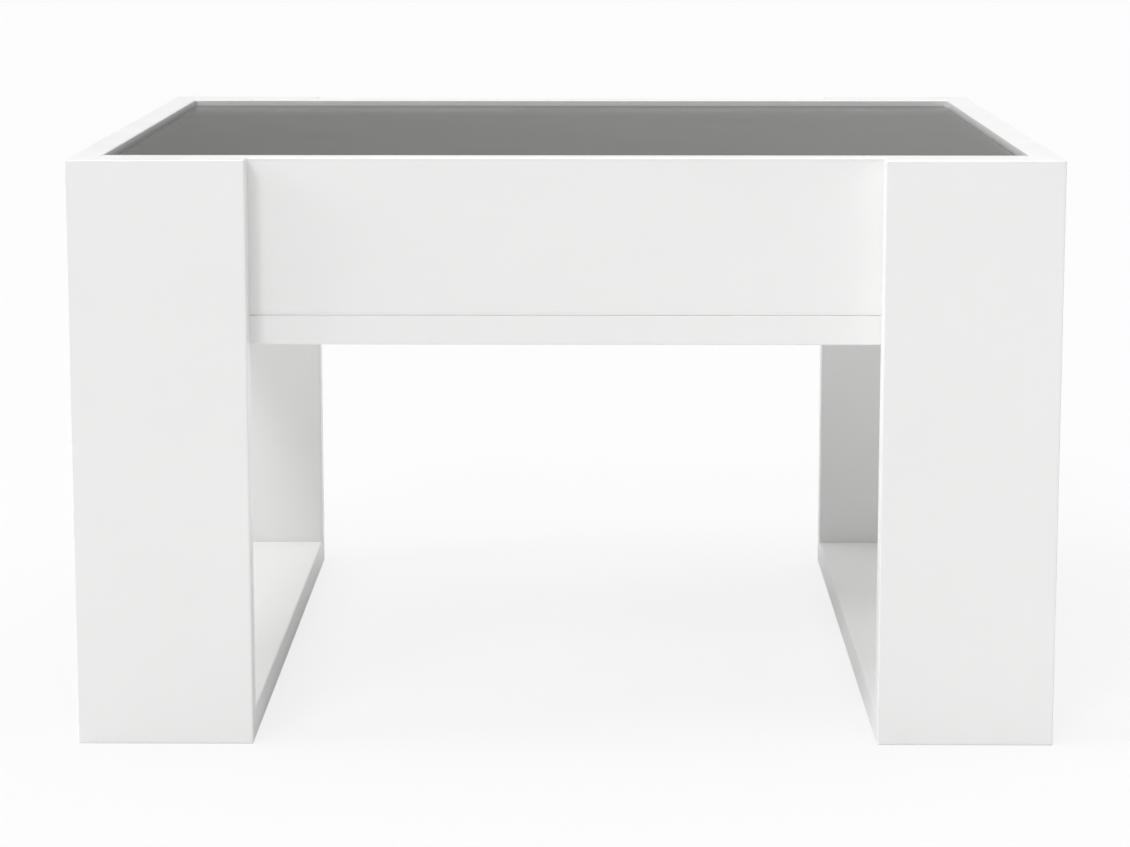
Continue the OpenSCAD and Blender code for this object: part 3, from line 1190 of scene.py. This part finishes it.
def bolt_head(ball: float = 3.6 * MM, neck: float = 2.0 * MM, shank: float = 3.0 * MM) -> Profile:
    """Draws a cam bolt from its ball end to the start of its thread.

    Args:
        ball: Radius of the ball end.
        neck: Radius of the neck that the cam grips.
        shank: Radius of the plain shank.

    Returns:
        Its outline as (radius, height).
    """
    ease, ball_end, neck_end, shank_start = 0.9 * MM, 3.0 * MM, 8.5 * MM, 9.5 * MM
    shank_end, thread_start = 33.5 * MM, 35.0 * MM
    end = eased([(0.0, 0.0), (ball, 0.0), (ball, ball_end), (neck, ball_end)], ease)
    return [*end, (neck, neck_end), (shank, shank_start), (shank, shank_end), (shank, thread_start)]


WOOD_THREAD = Thread(1.35 * MM, 2.0 * MM, 1.6 * MM)
BOARD_THREAD = Thread(1.6 * MM, 2.5 * MM, 3.0 * MM)
BOLT_THREAD = Thread(2.2 * MM, 3.0 * MM, 2.0 * MM)


@dataclass
class Fasteners:
    """All screws, bolts, cams and dowels, with the holes that they need."""

    dowel_steps: int = 48
    dowel_flutes: int = 12
    dowel_flute: float = 0.22 * MM
    dowel_ease: float = 1.0 * MM
    cam_ease: float = 0.22 * MM
    screws: dict[str, tuple[str, Screw]] = field(default_factory=lambda: {
        "leg_screws": ("pan_head_leg_screws", Screw(pan_head(), 32 * MM, WOOD_THREAD)),
        "bottom_screws": (
            "socket_board_screws",
            Screw(neck_head(), 48 * MM, BOARD_THREAD, Drive.HEX, recess=2.3 * MM),
        ),
        "bracket_screws": ("bracket_wood_screws", Screw(sunk_head(), 14 * MM, WOOD_THREAD)),
        "carrier_screws": ("carrier_wood_screws", Screw(sunk_head(), 14 * MM, WOOD_THREAD)),
        "batten_screws": ("batten_wood_screws", Screw(sunk_head(), 30 * MM, WOOD_THREAD)),
        "latch_screws": ("latch_wood_screws", Screw(sunk_head(), 14 * MM, WOOD_THREAD)),
        "strike_screw": ("strike_wood_screw", Screw(sunk_head(), 12 * MM, WOOD_THREAD)),
        "box_cam_bolts": (
            "box_cam_pins", Screw(bolt_head(), 45.5 * MM, BOLT_THREAD, Drive.NONE, point=1.5 * MM)
        ),
        "foot_cam_bolts": (
            "foot_cam_pins", Screw(bolt_head(), 45.5 * MM, BOLT_THREAD, Drive.NONE, point=1.5 * MM)
        ),
    })

    def _dowel_rings(self, radius: float, length: float) -> list[list[Vector]]:
        """Draws a fluted dowel with eased ends.

        Args:
            radius: The dowel's radius.
            length: Its length.

        Returns:
            Its rings.
        """
        rows = [(radius - self.dowel_ease, 0.0), (radius, self.dowel_ease)]
        rows += [(r, length - h) for r, h in reversed(rows)]
        rings = []
        for r, h in rows:
            ring = []
            for k in range(self.dowel_steps):
                turn = 2 * math.pi * k / self.dowel_steps
                flute = self.dowel_flute * (0.5 - 0.5 * math.cos(self.dowel_flutes * turn)) ** 3
                size = r - flute
                ring.append(Vector((size * math.cos(turn), size * math.sin(turn), h)))
            rings.append(ring)
        return rings

    def _make_dowels(self, node: str, name: str, finish: Finish) -> None:
        """Makes one group of fluted dowels.

        Args:
            node: The group's frame node.
            name: The piece's name.
            finish: Its finish.
        """
        shape = Shape()
        for solid in solids_of(node):
            axis = solid.long_axis
            radius = solid.size[axis.others[0]] / 2
            rings = self._dowel_rings(radius, solid.size[axis.value])
            shape.skin(rings, placed(solid.end(axis, -1), axis.unit))
        piece_for(node, name, finish).fix(shape)

    def build(self) -> None:
        """Makes every fastener."""
        for node, (name, screw) in self.screws.items():
            shape = Shape()
            template = screw.mesh()
            for solid in solids_of(node):
                shape.stamp(template, solid.headed())
            piece_for(node, name, SCREW_STEEL).fix(shape)
        self._make_dowels("box_dowels", "fluted_box_dowels", BEECH_X)
        self._make_dowels("foot_dowels", "fluted_foot_dowels", BEECH_Y)
        for node in ("box_cam_locks", "foot_cam_locks"):
            piece_for(node, f"slotted_{node}", CAST).fix(Shape().node(node, self.cam_ease))

    def holes(self, node: str) -> Shape | None:
        """Makes the holes that the fasteners need in one board.

        Args:
            node: The board's frame node.

        Returns:
            The tool that cuts them, or None if the board has none.
        """
        low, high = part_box(node)
        tool, count = Shape(), 0
        for group, (_, screw) in self.screws.items():
            for solid in solids_of(group):
                if not solid.meets(low, high):
                    continue
                place = solid.headed()
                head = place.translation
                headed = all(low[k] - WELD < head[k] < high[k] + WELD for k in range(3))
                tool.turned(screw.hole(headed), place, BORE_STEPS)
                count += 1
        for group in ("box_dowels", "foot_dowels"):
            for solid in solids_of(group):
                if not solid.meets(low, high):
                    continue
                axis = solid.long_axis
                r, l = solid.size[axis.others[0]] / 2 + HOLE_FIT, solid.size[axis.value] + HOLE_FIT
                outline = [(0, -HOLE_FIT), (r, -HOLE_FIT), (r, l), (0, l)]
                tool.turned(outline, placed(solid.end(axis, -1), axis.unit), BORE_STEPS)
                count += 1
        return tool if count else None

    def cam_bores(self, node: str) -> Shape | None:
        """Makes the blind bores that the cams sit in, open at the face next to the middle.

        Args:
            node: The board's frame node.

        Returns:
            The tool that cuts them, or None if the board has none.
        """
        low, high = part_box(node)
        tool, count = Shape(), 0
        for group in ("box_cam_locks", "foot_cam_locks"):
            for solid in solids_of(group):
                if any(solid.low[k] < low[k] - MM or solid.high[k] > high[k] + MM for k in range(3)):
                    continue
                axis = min(Axis, key=lambda a: solid.size[a.value])
                face = -1 if solid.middle[axis.value] > 0 else 1
                r, l = max(solid.size) / 2 + HOLE_FIT, solid.size[axis.value] + HOLE_FIT
                outline = [(0, -OUTSIDE), (r, -OUTSIDE), (r, l), (0, l)]
                place = placed(solid.end(axis, face), -face * axis.unit)
                tool.turned(outline, place, PIVOT_STEPS)
                count += 1
        return tool if count else None


# ---- Boards ----


@dataclass
class Boards:
    """The white boards of the leg loops, the box and the carrier, and the plain battens."""

    fasteners: Fasteners
    ease: float = 0.9 * MM
    corner: float = 0.9 * MM
    carrier_ease: float = 0.6 * MM
    batten_ease: float = 1.3 * MM
    thin_band: Hairline = Hairline()
    thick_band: Hairline = Hairline(1.6 * MM, 0.36 * MM, 0.20 * MM)

    def _make(
        self, node: str, name: str, axis: Axis, finish: Finish, ease: float,
        hairline: Hairline | None,
    ) -> None:
        """Makes one board and drills it.

        Args:
            node: The frame node that it stands for.
            name: The piece's name.
            axis: The axis through its thickness.
            finish: Its finish.
            ease: Radius of its edges.
            hairline: Its edge band's joint, if it has one.
        """
        low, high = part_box(node)
        shape = Shape().board(low, high, axis, ease, min(ease, self.corner), hairline)
        for tool in (self.fasteners.holes(node), self.fasteners.cam_bores(node)):
            if tool is not None:
                shape = shape.cut(tool)
        piece_for(node, name, finish).fix(shape)

    def build(self) -> None:
        """Makes the leg loops, the box, the carrier board and the battens."""
        for side in ("left", "right"):
            for end in ("front", "rear"):
                self._make(
                    f"{side}_{end}_leg", f"{side}_{end}_leg_board", Axis.Y, WHITE, self.ease,
                    self.thin_band,
                )
            self._make(
                f"{side}_foot_board", f"{side}_foot_rail", Axis.Z, WHITE, self.ease, self.thin_band
            )
            self._make(
                f"{side}_side_panel", f"{side}_box_side", Axis.X, WHITE, self.ease, self.thick_band
            )
        for end in ("front", "rear"):
            self._make(f"{end}_apron", f"{end}_box_wall", Axis.Y, WHITE, self.ease, self.thick_band)
        self._make("bottom_board", "box_floor", Axis.Z, WHITE, self.ease, self.thin_band)
        self._make(
            "carrier_board", "glass_carrier", Axis.Z, WHITE, self.carrier_ease, self.thin_band
        )
        for node in ("front_left_batten", "front_right_batten", "rear_batten"):
            self._make(node, f"{node}_strip", Axis.Z, SOFTWOOD, self.batten_ease, None)


# ---- Lifting top ----


@dataclass
class GlassTop:
    """The black backed glass and the foam tapes that bond it to the carrier board."""

    arris: float = 0.3 * MM
    corner: float = 1.5 * MM
    tape_ease: float = 0.12 * MM
    level: float = 0.99

    def build(self) -> None:
        """Makes the glass, with its ground edge in a finish of its own, and the tapes."""
        low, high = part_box("glass_top")
        shape = Shape().board(low, high, Axis.Z, self.arris, self.corner, steps=4)
        shape.weld()
        for face in shape.bm.faces:
            face.normal_update()
            face.material_index = int(abs(face.normal.z) < self.level)
        piece_for("glass_top", "dark_glass_panel", GLASS, GLASS_EDGE).fix(shape)
        tapes = Shape().node("glass_tapes", self.tape_ease)
        piece_for("glass_tapes", "foam_bonding_strips", TAPE).fix(tapes)


# ---- Lift mechanism ----


@dataclass
class LiftMechanism:
    """Brackets, arms, pivots and washers on both sides of the box."""

    sheet_ease: float = 0.35 * MM
    pin_r: float = 5.0 * MM
    running_fit: float = 0.05 * MM
    rivet_head_r: float = 8.0 * MM
    washer_r: float = 9.0 * MM
    mandrel_r: float = 7.0 * MM
    mandrel_end_r: float = 12.0 * MM
    mandrel_end_t: float = 2.0 * MM
    head_s: float = 7.3 * MM
    outer_head_t: float = 1.9 * MM
    inner_head_t: float = 1.5 * MM
    inner_head_r: float = 7.0 * MM
    stop_r: float = 4.0 * MM
    dimple_r: float = 2.2 * MM
    dimple: float = 0.5 * MM
    turn_ease: float = 0.35 * MM
    dimple_lip: float = 0.4
    crown_share: float = 0.6
    rivet_rim: float = 0.7 * MM
    stop_ease: float = 0.7 * MM
    washer_round: float = 0.4

    def _closed_end(self, radius: float, top: float, rim: float) -> list[tuple[float, float]]:
        """A domed head from its rim to a punched dimple in its middle.

        Args:
            radius: The head's radius.
            top: Height of its crown.
            rim: Height of its rim.

        Returns:
            The outline, from the rim inward.
        """
        crown = [p for p in reversed(dome(radius, top, rim)) if p[0] > self.dimple_r]
        return [*crown, (self.dimple_r, top - self.dimple * self.dimple_lip), (0.0, top - self.dimple)]

    def _pins(self, node: str, name: str, outlines: Sequence[Profile]) -> None:
        """Makes the turned pieces of one node.

        Args:
            node: The frame node.
            name: The piece's name.
            outlines: The outline of every solid in it, from its outer end inward.
        """
        shape = Shape()
        for solid in solids_of(node):
            for outline in outlines:
                shape.turned(outline, solid.inward(), PIVOT_STEPS)
        piece_for(node, name, PIVOT_STEEL).fix(shape)

    def _make_pivots(self) -> None:
        """Makes mandrels, rivets and stop pins."""
        pin, ease = self.pin_r, self.turn_ease
        length = solids_of("spring_mandrels")[0].size.x
        end = length - self.mandrel_end_t
        mandrel = eased(
            [(0.0, 0.0), (pin, 0.0), (pin, self.head_s), (self.mandrel_r, self.head_s),
             (self.mandrel_r, end), (self.mandrel_end_r, end), (self.mandrel_end_r, length),
             (self.dimple_r, length), (0.0, length - self.dimple)], ease)
        self._pins("spring_mandrels", "spring_holding_pins", [mandrel])
        length = solids_of("base_rivets")[0].size.x
        foot = eased(
            [(0.0, 0.0), (pin, 0.0), (pin, self.head_s), (self.rivet_head_r, self.head_s),
             (self.rivet_head_r, self.head_s + self.rivet_rim)], ease)
        head = self._closed_end(self.rivet_head_r, length, self.head_s + self.rivet_rim)
        self._pins("base_rivets", "domed_base_rivets", [[*foot, *head[1:]]])
        length = solids_of("top_rivets")[0].size.x
        start = [(0.0, self.dimple), (self.dimple_r, self.dimple * self.dimple_lip)]
        crown = dome(self.rivet_head_r, 0.0, self.outer_head_t * self.crown_share)
        outer = [p for p in crown if p[0] > self.dimple_r]
        shank = [(self.rivet_head_r, self.outer_head_t), (pin, self.outer_head_t),
                 (pin, length - self.inner_head_t), (self.inner_head_r, length - self.inner_head_t)]
        inner = self._closed_end(self.inner_head_r, length, length - self.inner_head_t * 0.5)
        self._pins("top_rivets", "domed_top_rivets", [[*start, *outer, *shank, *inner]])
        length = solids_of("stop_pins")[0].size.x
        side = [(self.stop_r, 0.0), (self.stop_r, length)]
        stop = eased([(0.0, 0.0), *side, (0.0, length)], self.stop_ease)
        self._pins("stop_pins", "lift_stop_pins", [stop])

    def _make_washers(self, node: str, name: str) -> None:
        """Makes the nylon washers of one node.

        Args:
            node: The frame node.
            name: The piece's name.
        """
        shape, bore = Shape(), self.pin_r + self.running_fit
        middle = (bore + self.washer_r) / 2
        for solid in solids_of(node):
            t = solid.size.x
            outline = eased(
                [(middle, 0.0), (self.washer_r, 0.0), (self.washer_r, t), (bore, t), (bore, 0.0),
                 (middle - MM, 0.0)], t * self.washer_round)
            shape.turned(outline, solid.inward(), PIVOT_STEPS, closed=True)
        piece_for(node, name, NYLON).fix(shape)

    def build(self) -> None:
        """Makes the whole mechanism."""
        for side in ("left", "right"):
            for part in ("base_bracket", "top_bracket", "lower_arm", "upper_arm"):
                node = f"{side}_{part}"
                shape = Shape().node(node, self.sheet_ease)
                piece_for(node, f"{side}_pressed_{part}", SHEET_STEEL).fix(shape)
        self._make_pivots()
        self._make_washers("base_washers", "nylon_base_washers")
        self._make_washers("top_washers", "nylon_top_washers")


@dataclass
class LiftSpring:
    """A torsion spring: one leg pushes up under the arm, the other lies on the bracket."""

    side: str
    wire_r: float = 2.0 * MM
    turns: float = 3.75
    steps_per_turn: int = 36
    bend_r: float = 6.0 * MM
    hook_r: float = 3.4 * MM
    bend_steps: int = 8
    plate_t: float = 2.5 * MM
    plate_gap: float = 0.1 * MM
    arm_gap: float = 0.3 * MM
    end_gap: float = 0.3 * MM
    coil_inset: float = 6.0 * MM
    leg_start: float = 6.0 * MM
    blend_margin: float = 0.5 * MM

    def _bend(self, corner: Vector, before: Vector, after: Vector, radius: float) -> list[Vector]:
        """A quarter bend in the wire.

        Args:
            corner: Where the straight runs would meet.
            before: The way the wire comes.
            after: The way it leaves.
            radius: The bend's radius.

        Returns:
            Points along the bend.
        """
        centre = corner - before * radius + after * radius
        turns = [math.pi / 2 * k / self.bend_steps for k in range(self.bend_steps + 1)]
        return [centre - after * radius * math.cos(a) + before * radius * math.sin(a) for a in turns]

    def build(self) -> None:
        """Makes the spring between the bracket and the arm, in one fixed shape."""
        node = f"{self.side}_spring"
        sign = -1 if self.side == "left" else 1
        low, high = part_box(node)
        mandrel = next(s for s in solids_of("spring_mandrels") if s.middle.x * sign > 0)
        pivot_y, pivot_z = mandrel.middle.y, mandrel.middle.z
        coil_r = pivot_y - low.y - self.wire_r
        outer_x = high.x if sign > 0 else low.x
        inner_x = low.x if sign > 0 else high.x
        side_way = Vector((sign, 0, 0))
        back, down = Vector((0, 1, 0)), Vector((0, 0, -1))
        bracket_x = inner_x + sign * self.wire_r
        arm = solids_of(f"{self.side}_lower_arm")[0]
        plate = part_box(f"{self.side}_base_bracket")[0].z + self.plate_t
        flange_z = plate + self.wire_r + self.plate_gap
        arm_z = arm.low.z - self.wire_r - self.arm_gap
        coil_end_x = arm.middle.x - sign * self.coil_inset
        leg_end = high.y
        path = [
            Vector((bracket_x, leg_end - self.end_gap, flange_z)),
            Vector((bracket_x, pivot_y + self.leg_start, flange_z)),
        ]
        count = int(self.turns * self.steps_per_turn)
        for k in range(count + 1):
            turn = 2 * math.pi * self.turns * k / count
            x = bracket_x + (coil_end_x - bracket_x) * k / count
            y, z = -coil_r * math.sin(turn), -coil_r * math.cos(turn)
            path.append(Vector((x, pivot_y + y, pivot_z + z)))
        heel = Vector((coil_end_x, pivot_y + coil_r, arm_z))
        path += self._bend(heel, down, back, self.bend_r)
        toe = Vector((coil_end_x, leg_end - self.wire_r, arm_z))
        path += self._bend(toe, back, side_way, self.hook_r)
        path.append(Vector((outer_x, leg_end - self.wire_r, arm_z)))
        piece = Piece(f"{self.side}_torsion_spring", node, "frame", (SPRING,))
        shown = piece.show(Shape().wire(path, self.wire_r))
        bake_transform(shown)


# ---- Rests and latch ----


@dataclass
class Rests:
    """The rubber pads on which the closed top lies."""

    rim: float = 1.2 * MM
    dish: float = 0.3 * MM
    flank: float = 0.6
    land: float = 0.5
    dish_share: float = 0.42
    ease: float = 0.35 * MM

    def build(self) -> None:
        """Makes the dished pads."""
        shape = Shape()
        for solid in solids_of("rest_pads"):
            r, t = solid.size.x / 2, solid.size.z
            outline = eased(
                [(0.0, 0.0), (r, 0.0), (r, t * self.flank), (r - self.rim, t), (r * self.land, t),
                 (r * self.dish_share, t - self.dish), (0.0, t - self.dish)], self.ease)
            shape.turned(outline, placed(solid.end(Axis.Z, -1), Axis.Z.unit), TURNED_STEPS)
        piece_for("rest_pads", "rubber_rest_buttons", RUBBER).fix(shape)


@dataclass
class PushLatch:
    """The push latch that lets the top go: housing, plunger, spring and strike."""

    housing_ease: float = 0.4 * MM
    strike_ease: float = 0.2 * MM
    groove_from_top: float = 7.0 * MM
    groove: float = 0.6 * MM
    nose: float = 1.2 * MM
    wire_r: float = 0.5 * MM
    turns: int = 8
    steps_per_turn: int = 28
    travel: float = 1.5 * MM
    plunger_ease: float = 0.35 * MM
    wire_steps: int = 8
    closed_share: float = 0.09
    open_share: float = 0.82

    def _make_plunger(self) -> None:
        """Makes the plunger with a rounded nose and a catch groove."""
        solid = solids_of("latch_plunger")[0]
        r, l = solid.size.x / 2, solid.size.z
        groove = l - self.groove_from_top
        outline = eased(
            [(0.0, 0.0), (r, 0.0), (r, groove - self.nose), (r - self.groove, groove - self.nose * 0.5),
             (r - self.groove, groove + self.nose * 0.5), (r, groove + self.nose), (r, l - self.nose)],
            self.plunger_ease)
        outline += dome(r, l, l - self.nose)[::-1][1:]
        place = placed(solid.end(Axis.Z, -1), Axis.Z.unit)
        rod = Shape().turned(outline, place, TURNED_STEPS)
        piece_for("latch_plunger", "latch_push_rod", GREY_PLASTIC).fix(rod)

    def _make_spring(self) -> None:
        """Makes the compression spring, in one fixed length."""
        solid = solids_of("latch_spring")[0]
        base, height = solid.end(Axis.Z, -1), solid.size.z
        coil_r = solid.size.x / 2 - self.wire_r
        rise = height - 2 * self.wire_r
        count = self.turns * self.steps_per_turn
        path = []
        for k in range(count + 1):
            turn = 2 * math.pi * k / self.steps_per_turn
            level = min(1.0, max(0.0, (k / count - self.closed_share) / self.open_share))
            out = Vector((math.cos(turn), math.sin(turn), 0)) * coil_r
            squeeze = 2 * self.wire_r * min(k, count - k, self.steps_per_turn) / self.steps_per_turn
            lift = self.wire_r + level * (rise - 2 * squeeze) + squeeze * min(1.0, k * 2 / count)
            path.append(base + out + Vector((0, 0, lift)))
        piece = Piece("latch_compression_spring", "latch_spring", "frame", (LATCH_WIRE,))
        shown = piece.fix(Shape().wire(path, self.wire_r, self.wire_steps))
        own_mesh(shown)

    def build(self) -> None:
        """Makes the latch."""
        housing = Shape().node("latch_housing", self.housing_ease)
        piece_for("latch_housing", "latch_barrel", NYLON).fix(housing)
        self._make_plunger()
        self._make_spring()
        strike = Shape().node("latch_strike", self.strike_ease)
        piece_for("latch_strike", "latch_strike_disc", SHEET_STEEL).fix(strike)


# ---- Studio ----


@dataclass(frozen=True)
class Lobe:
    """A broad bright part of the sky round one direction."""

    towards: tuple[float, float, float]
    strength: float
    focus: float = 1.0


@dataclass(frozen=True)
class Lamp:
    """A soft distant lamp, placed by how far it stands round and above the front."""

    name: str
    azimuth: float
    elevation: float
    strength: float
    width: float


@dataclass
class Studio:
    """A plain pale floor under a soft sky, with broad distant lamps."""

    floor_half: float = 60.0
    floor_colour: Colour = (0.80, 0.80, 0.80)
    backdrop: float = 0.97
    floor_bleach: float = 0.8
    floor_mottle: float = 0.995
    lobes: tuple[Lobe, ...] = (
        Lobe((0.0, 0.0, 1.0), 2.17, 2.5),
        Lobe((1.0, 0.0, 0.25), 0.04, 2.0),
        Lobe((0.35, 1.0, 0.0), 0.455, 3.0),
    )
    lamps: tuple[Lamp, ...] = (
        Lamp("key", -22.0, 37.0, 0.60, 12.0),
        Lamp("side", -80.0, 28.0, 1.15, 25.0),
    )

    def _make_floor(self) -> None:
        """Makes the floor."""
        half = self.floor_half
        square = [Vector((x, y, 0.0)) for x, y in rounded_ring((half, half), 0.0, 1)]
        bm = bmesh.new()
        bm.faces.new([bm.verts.new(p) for p in square[::2]])
        mesh = bpy.data.meshes.new("studio_floor")
        bm.to_mesh(mesh)
        bm.free()
        floor = bpy.data.objects.new("studio_floor", mesh)
        bpy.context.scene.collection.objects.link(floor)
        graph = Graph("floor_paint")
        shade = tint(self.floor_colour, self.floor_mottle)
        stops = [(CLOUD_LOW, shade), (CLOUD_HIGH, self.floor_colour)]
        tones = graph.ramp(graph.noise(scale=2.0, detail=2.0), stops)
        graph.join(tones, graph.shader.inputs["Base Color"])
        graph.fix(Roughness=0.9, Specular_IOR_Level=0.1)
        self._bleach(graph)
        mesh.materials.append(graph.material)

    def _bleach(self, graph: Graph) -> None:
        """Lightens the floor that is seen directly, so that the shadows on it stay faint.

        Args:
            graph: The floor's nodes.
        """
        output = graph.tree.nodes["Material Output"]
        glow = graph.add("ShaderNodeEmission")
        glow.inputs["Strength"].default_value = self.backdrop
        seen = graph.add("ShaderNodeLightPath").outputs["Is Camera Ray"]
        share = self._sum(graph.tree, "MULTIPLY", seen, self.floor_bleach)
        mix = graph.add("ShaderNodeMixShader")
        graph.join(share, mix.inputs["Fac"])
        graph.join(graph.shader.outputs["BSDF"], mix.inputs[1])
        graph.join(glow.outputs["Emission"], mix.inputs[2])
        graph.join(mix.outputs["Shader"], output.inputs["Surface"])

    def _make_sky(self) -> None:
        """Makes the sky from a few broad lobes; behind the table it is a plain pale backdrop."""
        world = bpy.data.worlds.new("studio_sky")
        world.use_nodes = True
        bpy.context.scene.world = world
        tree = world.node_tree
        direction = tree.nodes.new("ShaderNodeTexCoord").outputs["Generated"]
        total: bpy.types.NodeSocket | None = None
        for lobe in self.lobes:
            facing = tree.nodes.new("ShaderNodeVectorMath")
            facing.operation = "DOT_PRODUCT"
            facing.inputs[1].default_value = Vector(lobe.towards).normalized()
            tree.links.new(direction, facing.inputs[0])
            level = facing.outputs["Value"]
            steps = (("MAXIMUM", 0.0), ("POWER", lobe.focus), ("MULTIPLY", lobe.strength))
            for operation, value in steps:
                level = self._sum(tree, operation, level, value)
            total = level if total is None else self._sum(tree, "ADD", level, total)
        seen = tree.nodes.new("ShaderNodeLightPath").outputs["Is Camera Ray"]
        mix = tree.nodes.new("ShaderNodeMix")
        mix.inputs["B"].default_value = self.backdrop
        tree.links.new(seen, mix.inputs["Factor"])
        tree.links.new(total, mix.inputs["A"])
        tree.links.new(mix.outputs["Result"], tree.nodes["Background"].inputs["Strength"])
        tree.nodes["Background"].inputs["Color"].default_value = (1.0, 1.0, 1.0, 1.0)

    @staticmethod
    def _sum(
        tree: bpy.types.NodeTree, operation: str, first: bpy.types.NodeSocket,
        second: bpy.types.NodeSocket | float,
    ) -> bpy.types.NodeSocket:
        """Adds one sum to the sky or the floor.

        Args:
            tree: The nodes to add it to.
            operation: What to do.
            first: The first number.
            second: The second number, fixed or from another node.

        Returns:
            The result.
        """
        node = tree.nodes.new("ShaderNodeMath")
        node.operation = operation
        tree.links.new(first, node.inputs[0])
        if isinstance(second, float):
            node.inputs[1].default_value = second
        else:
            tree.links.new(second, node.inputs[1])
        return node.outputs["Value"]

    def _make_lamps(self) -> None:
        """Hangs the lamps."""
        for lamp in self.lamps:
            light = bpy.data.lights.new(lamp.name, "SUN")
            light.energy = lamp.strength
            light.angle = math.radians(lamp.width)
            obj = bpy.data.objects.new(lamp.name, light)
            bpy.context.scene.collection.objects.link(obj)
            azimuth, elevation = math.radians(lamp.azimuth), math.radians(lamp.elevation)
            out = Vector((
                math.sin(azimuth) * math.cos(elevation),
                -math.cos(azimuth) * math.cos(elevation),
                math.sin(elevation),
            ))
            obj.rotation_euler = out.to_track_quat("Z", "Y").to_euler()

    def build(self) -> None:
        """Sets up floor, sky and lamps, with plain tones in the picture."""
        self._make_floor()
        self._make_sky()
        self._make_lamps()
        bpy.context.scene.view_settings.view_transform = "Standard"


@dataclass
class StandingCamera:
    """A long lens a little above the table, looking slightly down at its front."""

    place: tuple[float, float, float] = (0.0171, -2.257, 0.5345)
    down: float = 9.565
    left: float = 0.492
    lens: float = 105.7
    sensor: float = 36.0

    def build(self) -> None:
        """Sets up the camera."""
        data = bpy.data.cameras.new("front_camera")
        data.lens = self.lens
        data.sensor_width = self.sensor
        data.sensor_fit = "HORIZONTAL"
        camera = bpy.data.objects.new("front_camera", data)
        bpy.context.scene.collection.objects.link(camera)
        camera.location = self.place
        camera.rotation_euler = (math.radians(90 - self.down), 0.0, math.radians(self.left))
        bpy.context.scene.camera = camera


def main() -> None:
    """Makes the studio and the whole table."""
    logging.basicConfig(level=logging.INFO, format="%(name)s: %(message)s")
    StandingCamera().build()
    Studio().build()
    fasteners = Fasteners()
    fasteners.build()
    Boards(fasteners).build()
    GlassTop().build()
    LiftMechanism().build()
    for side in ("left", "right"):
        LiftSpring(side).build()
    Rests().build()
    PushLatch().build()


if __name__ == "__main__":
    main()
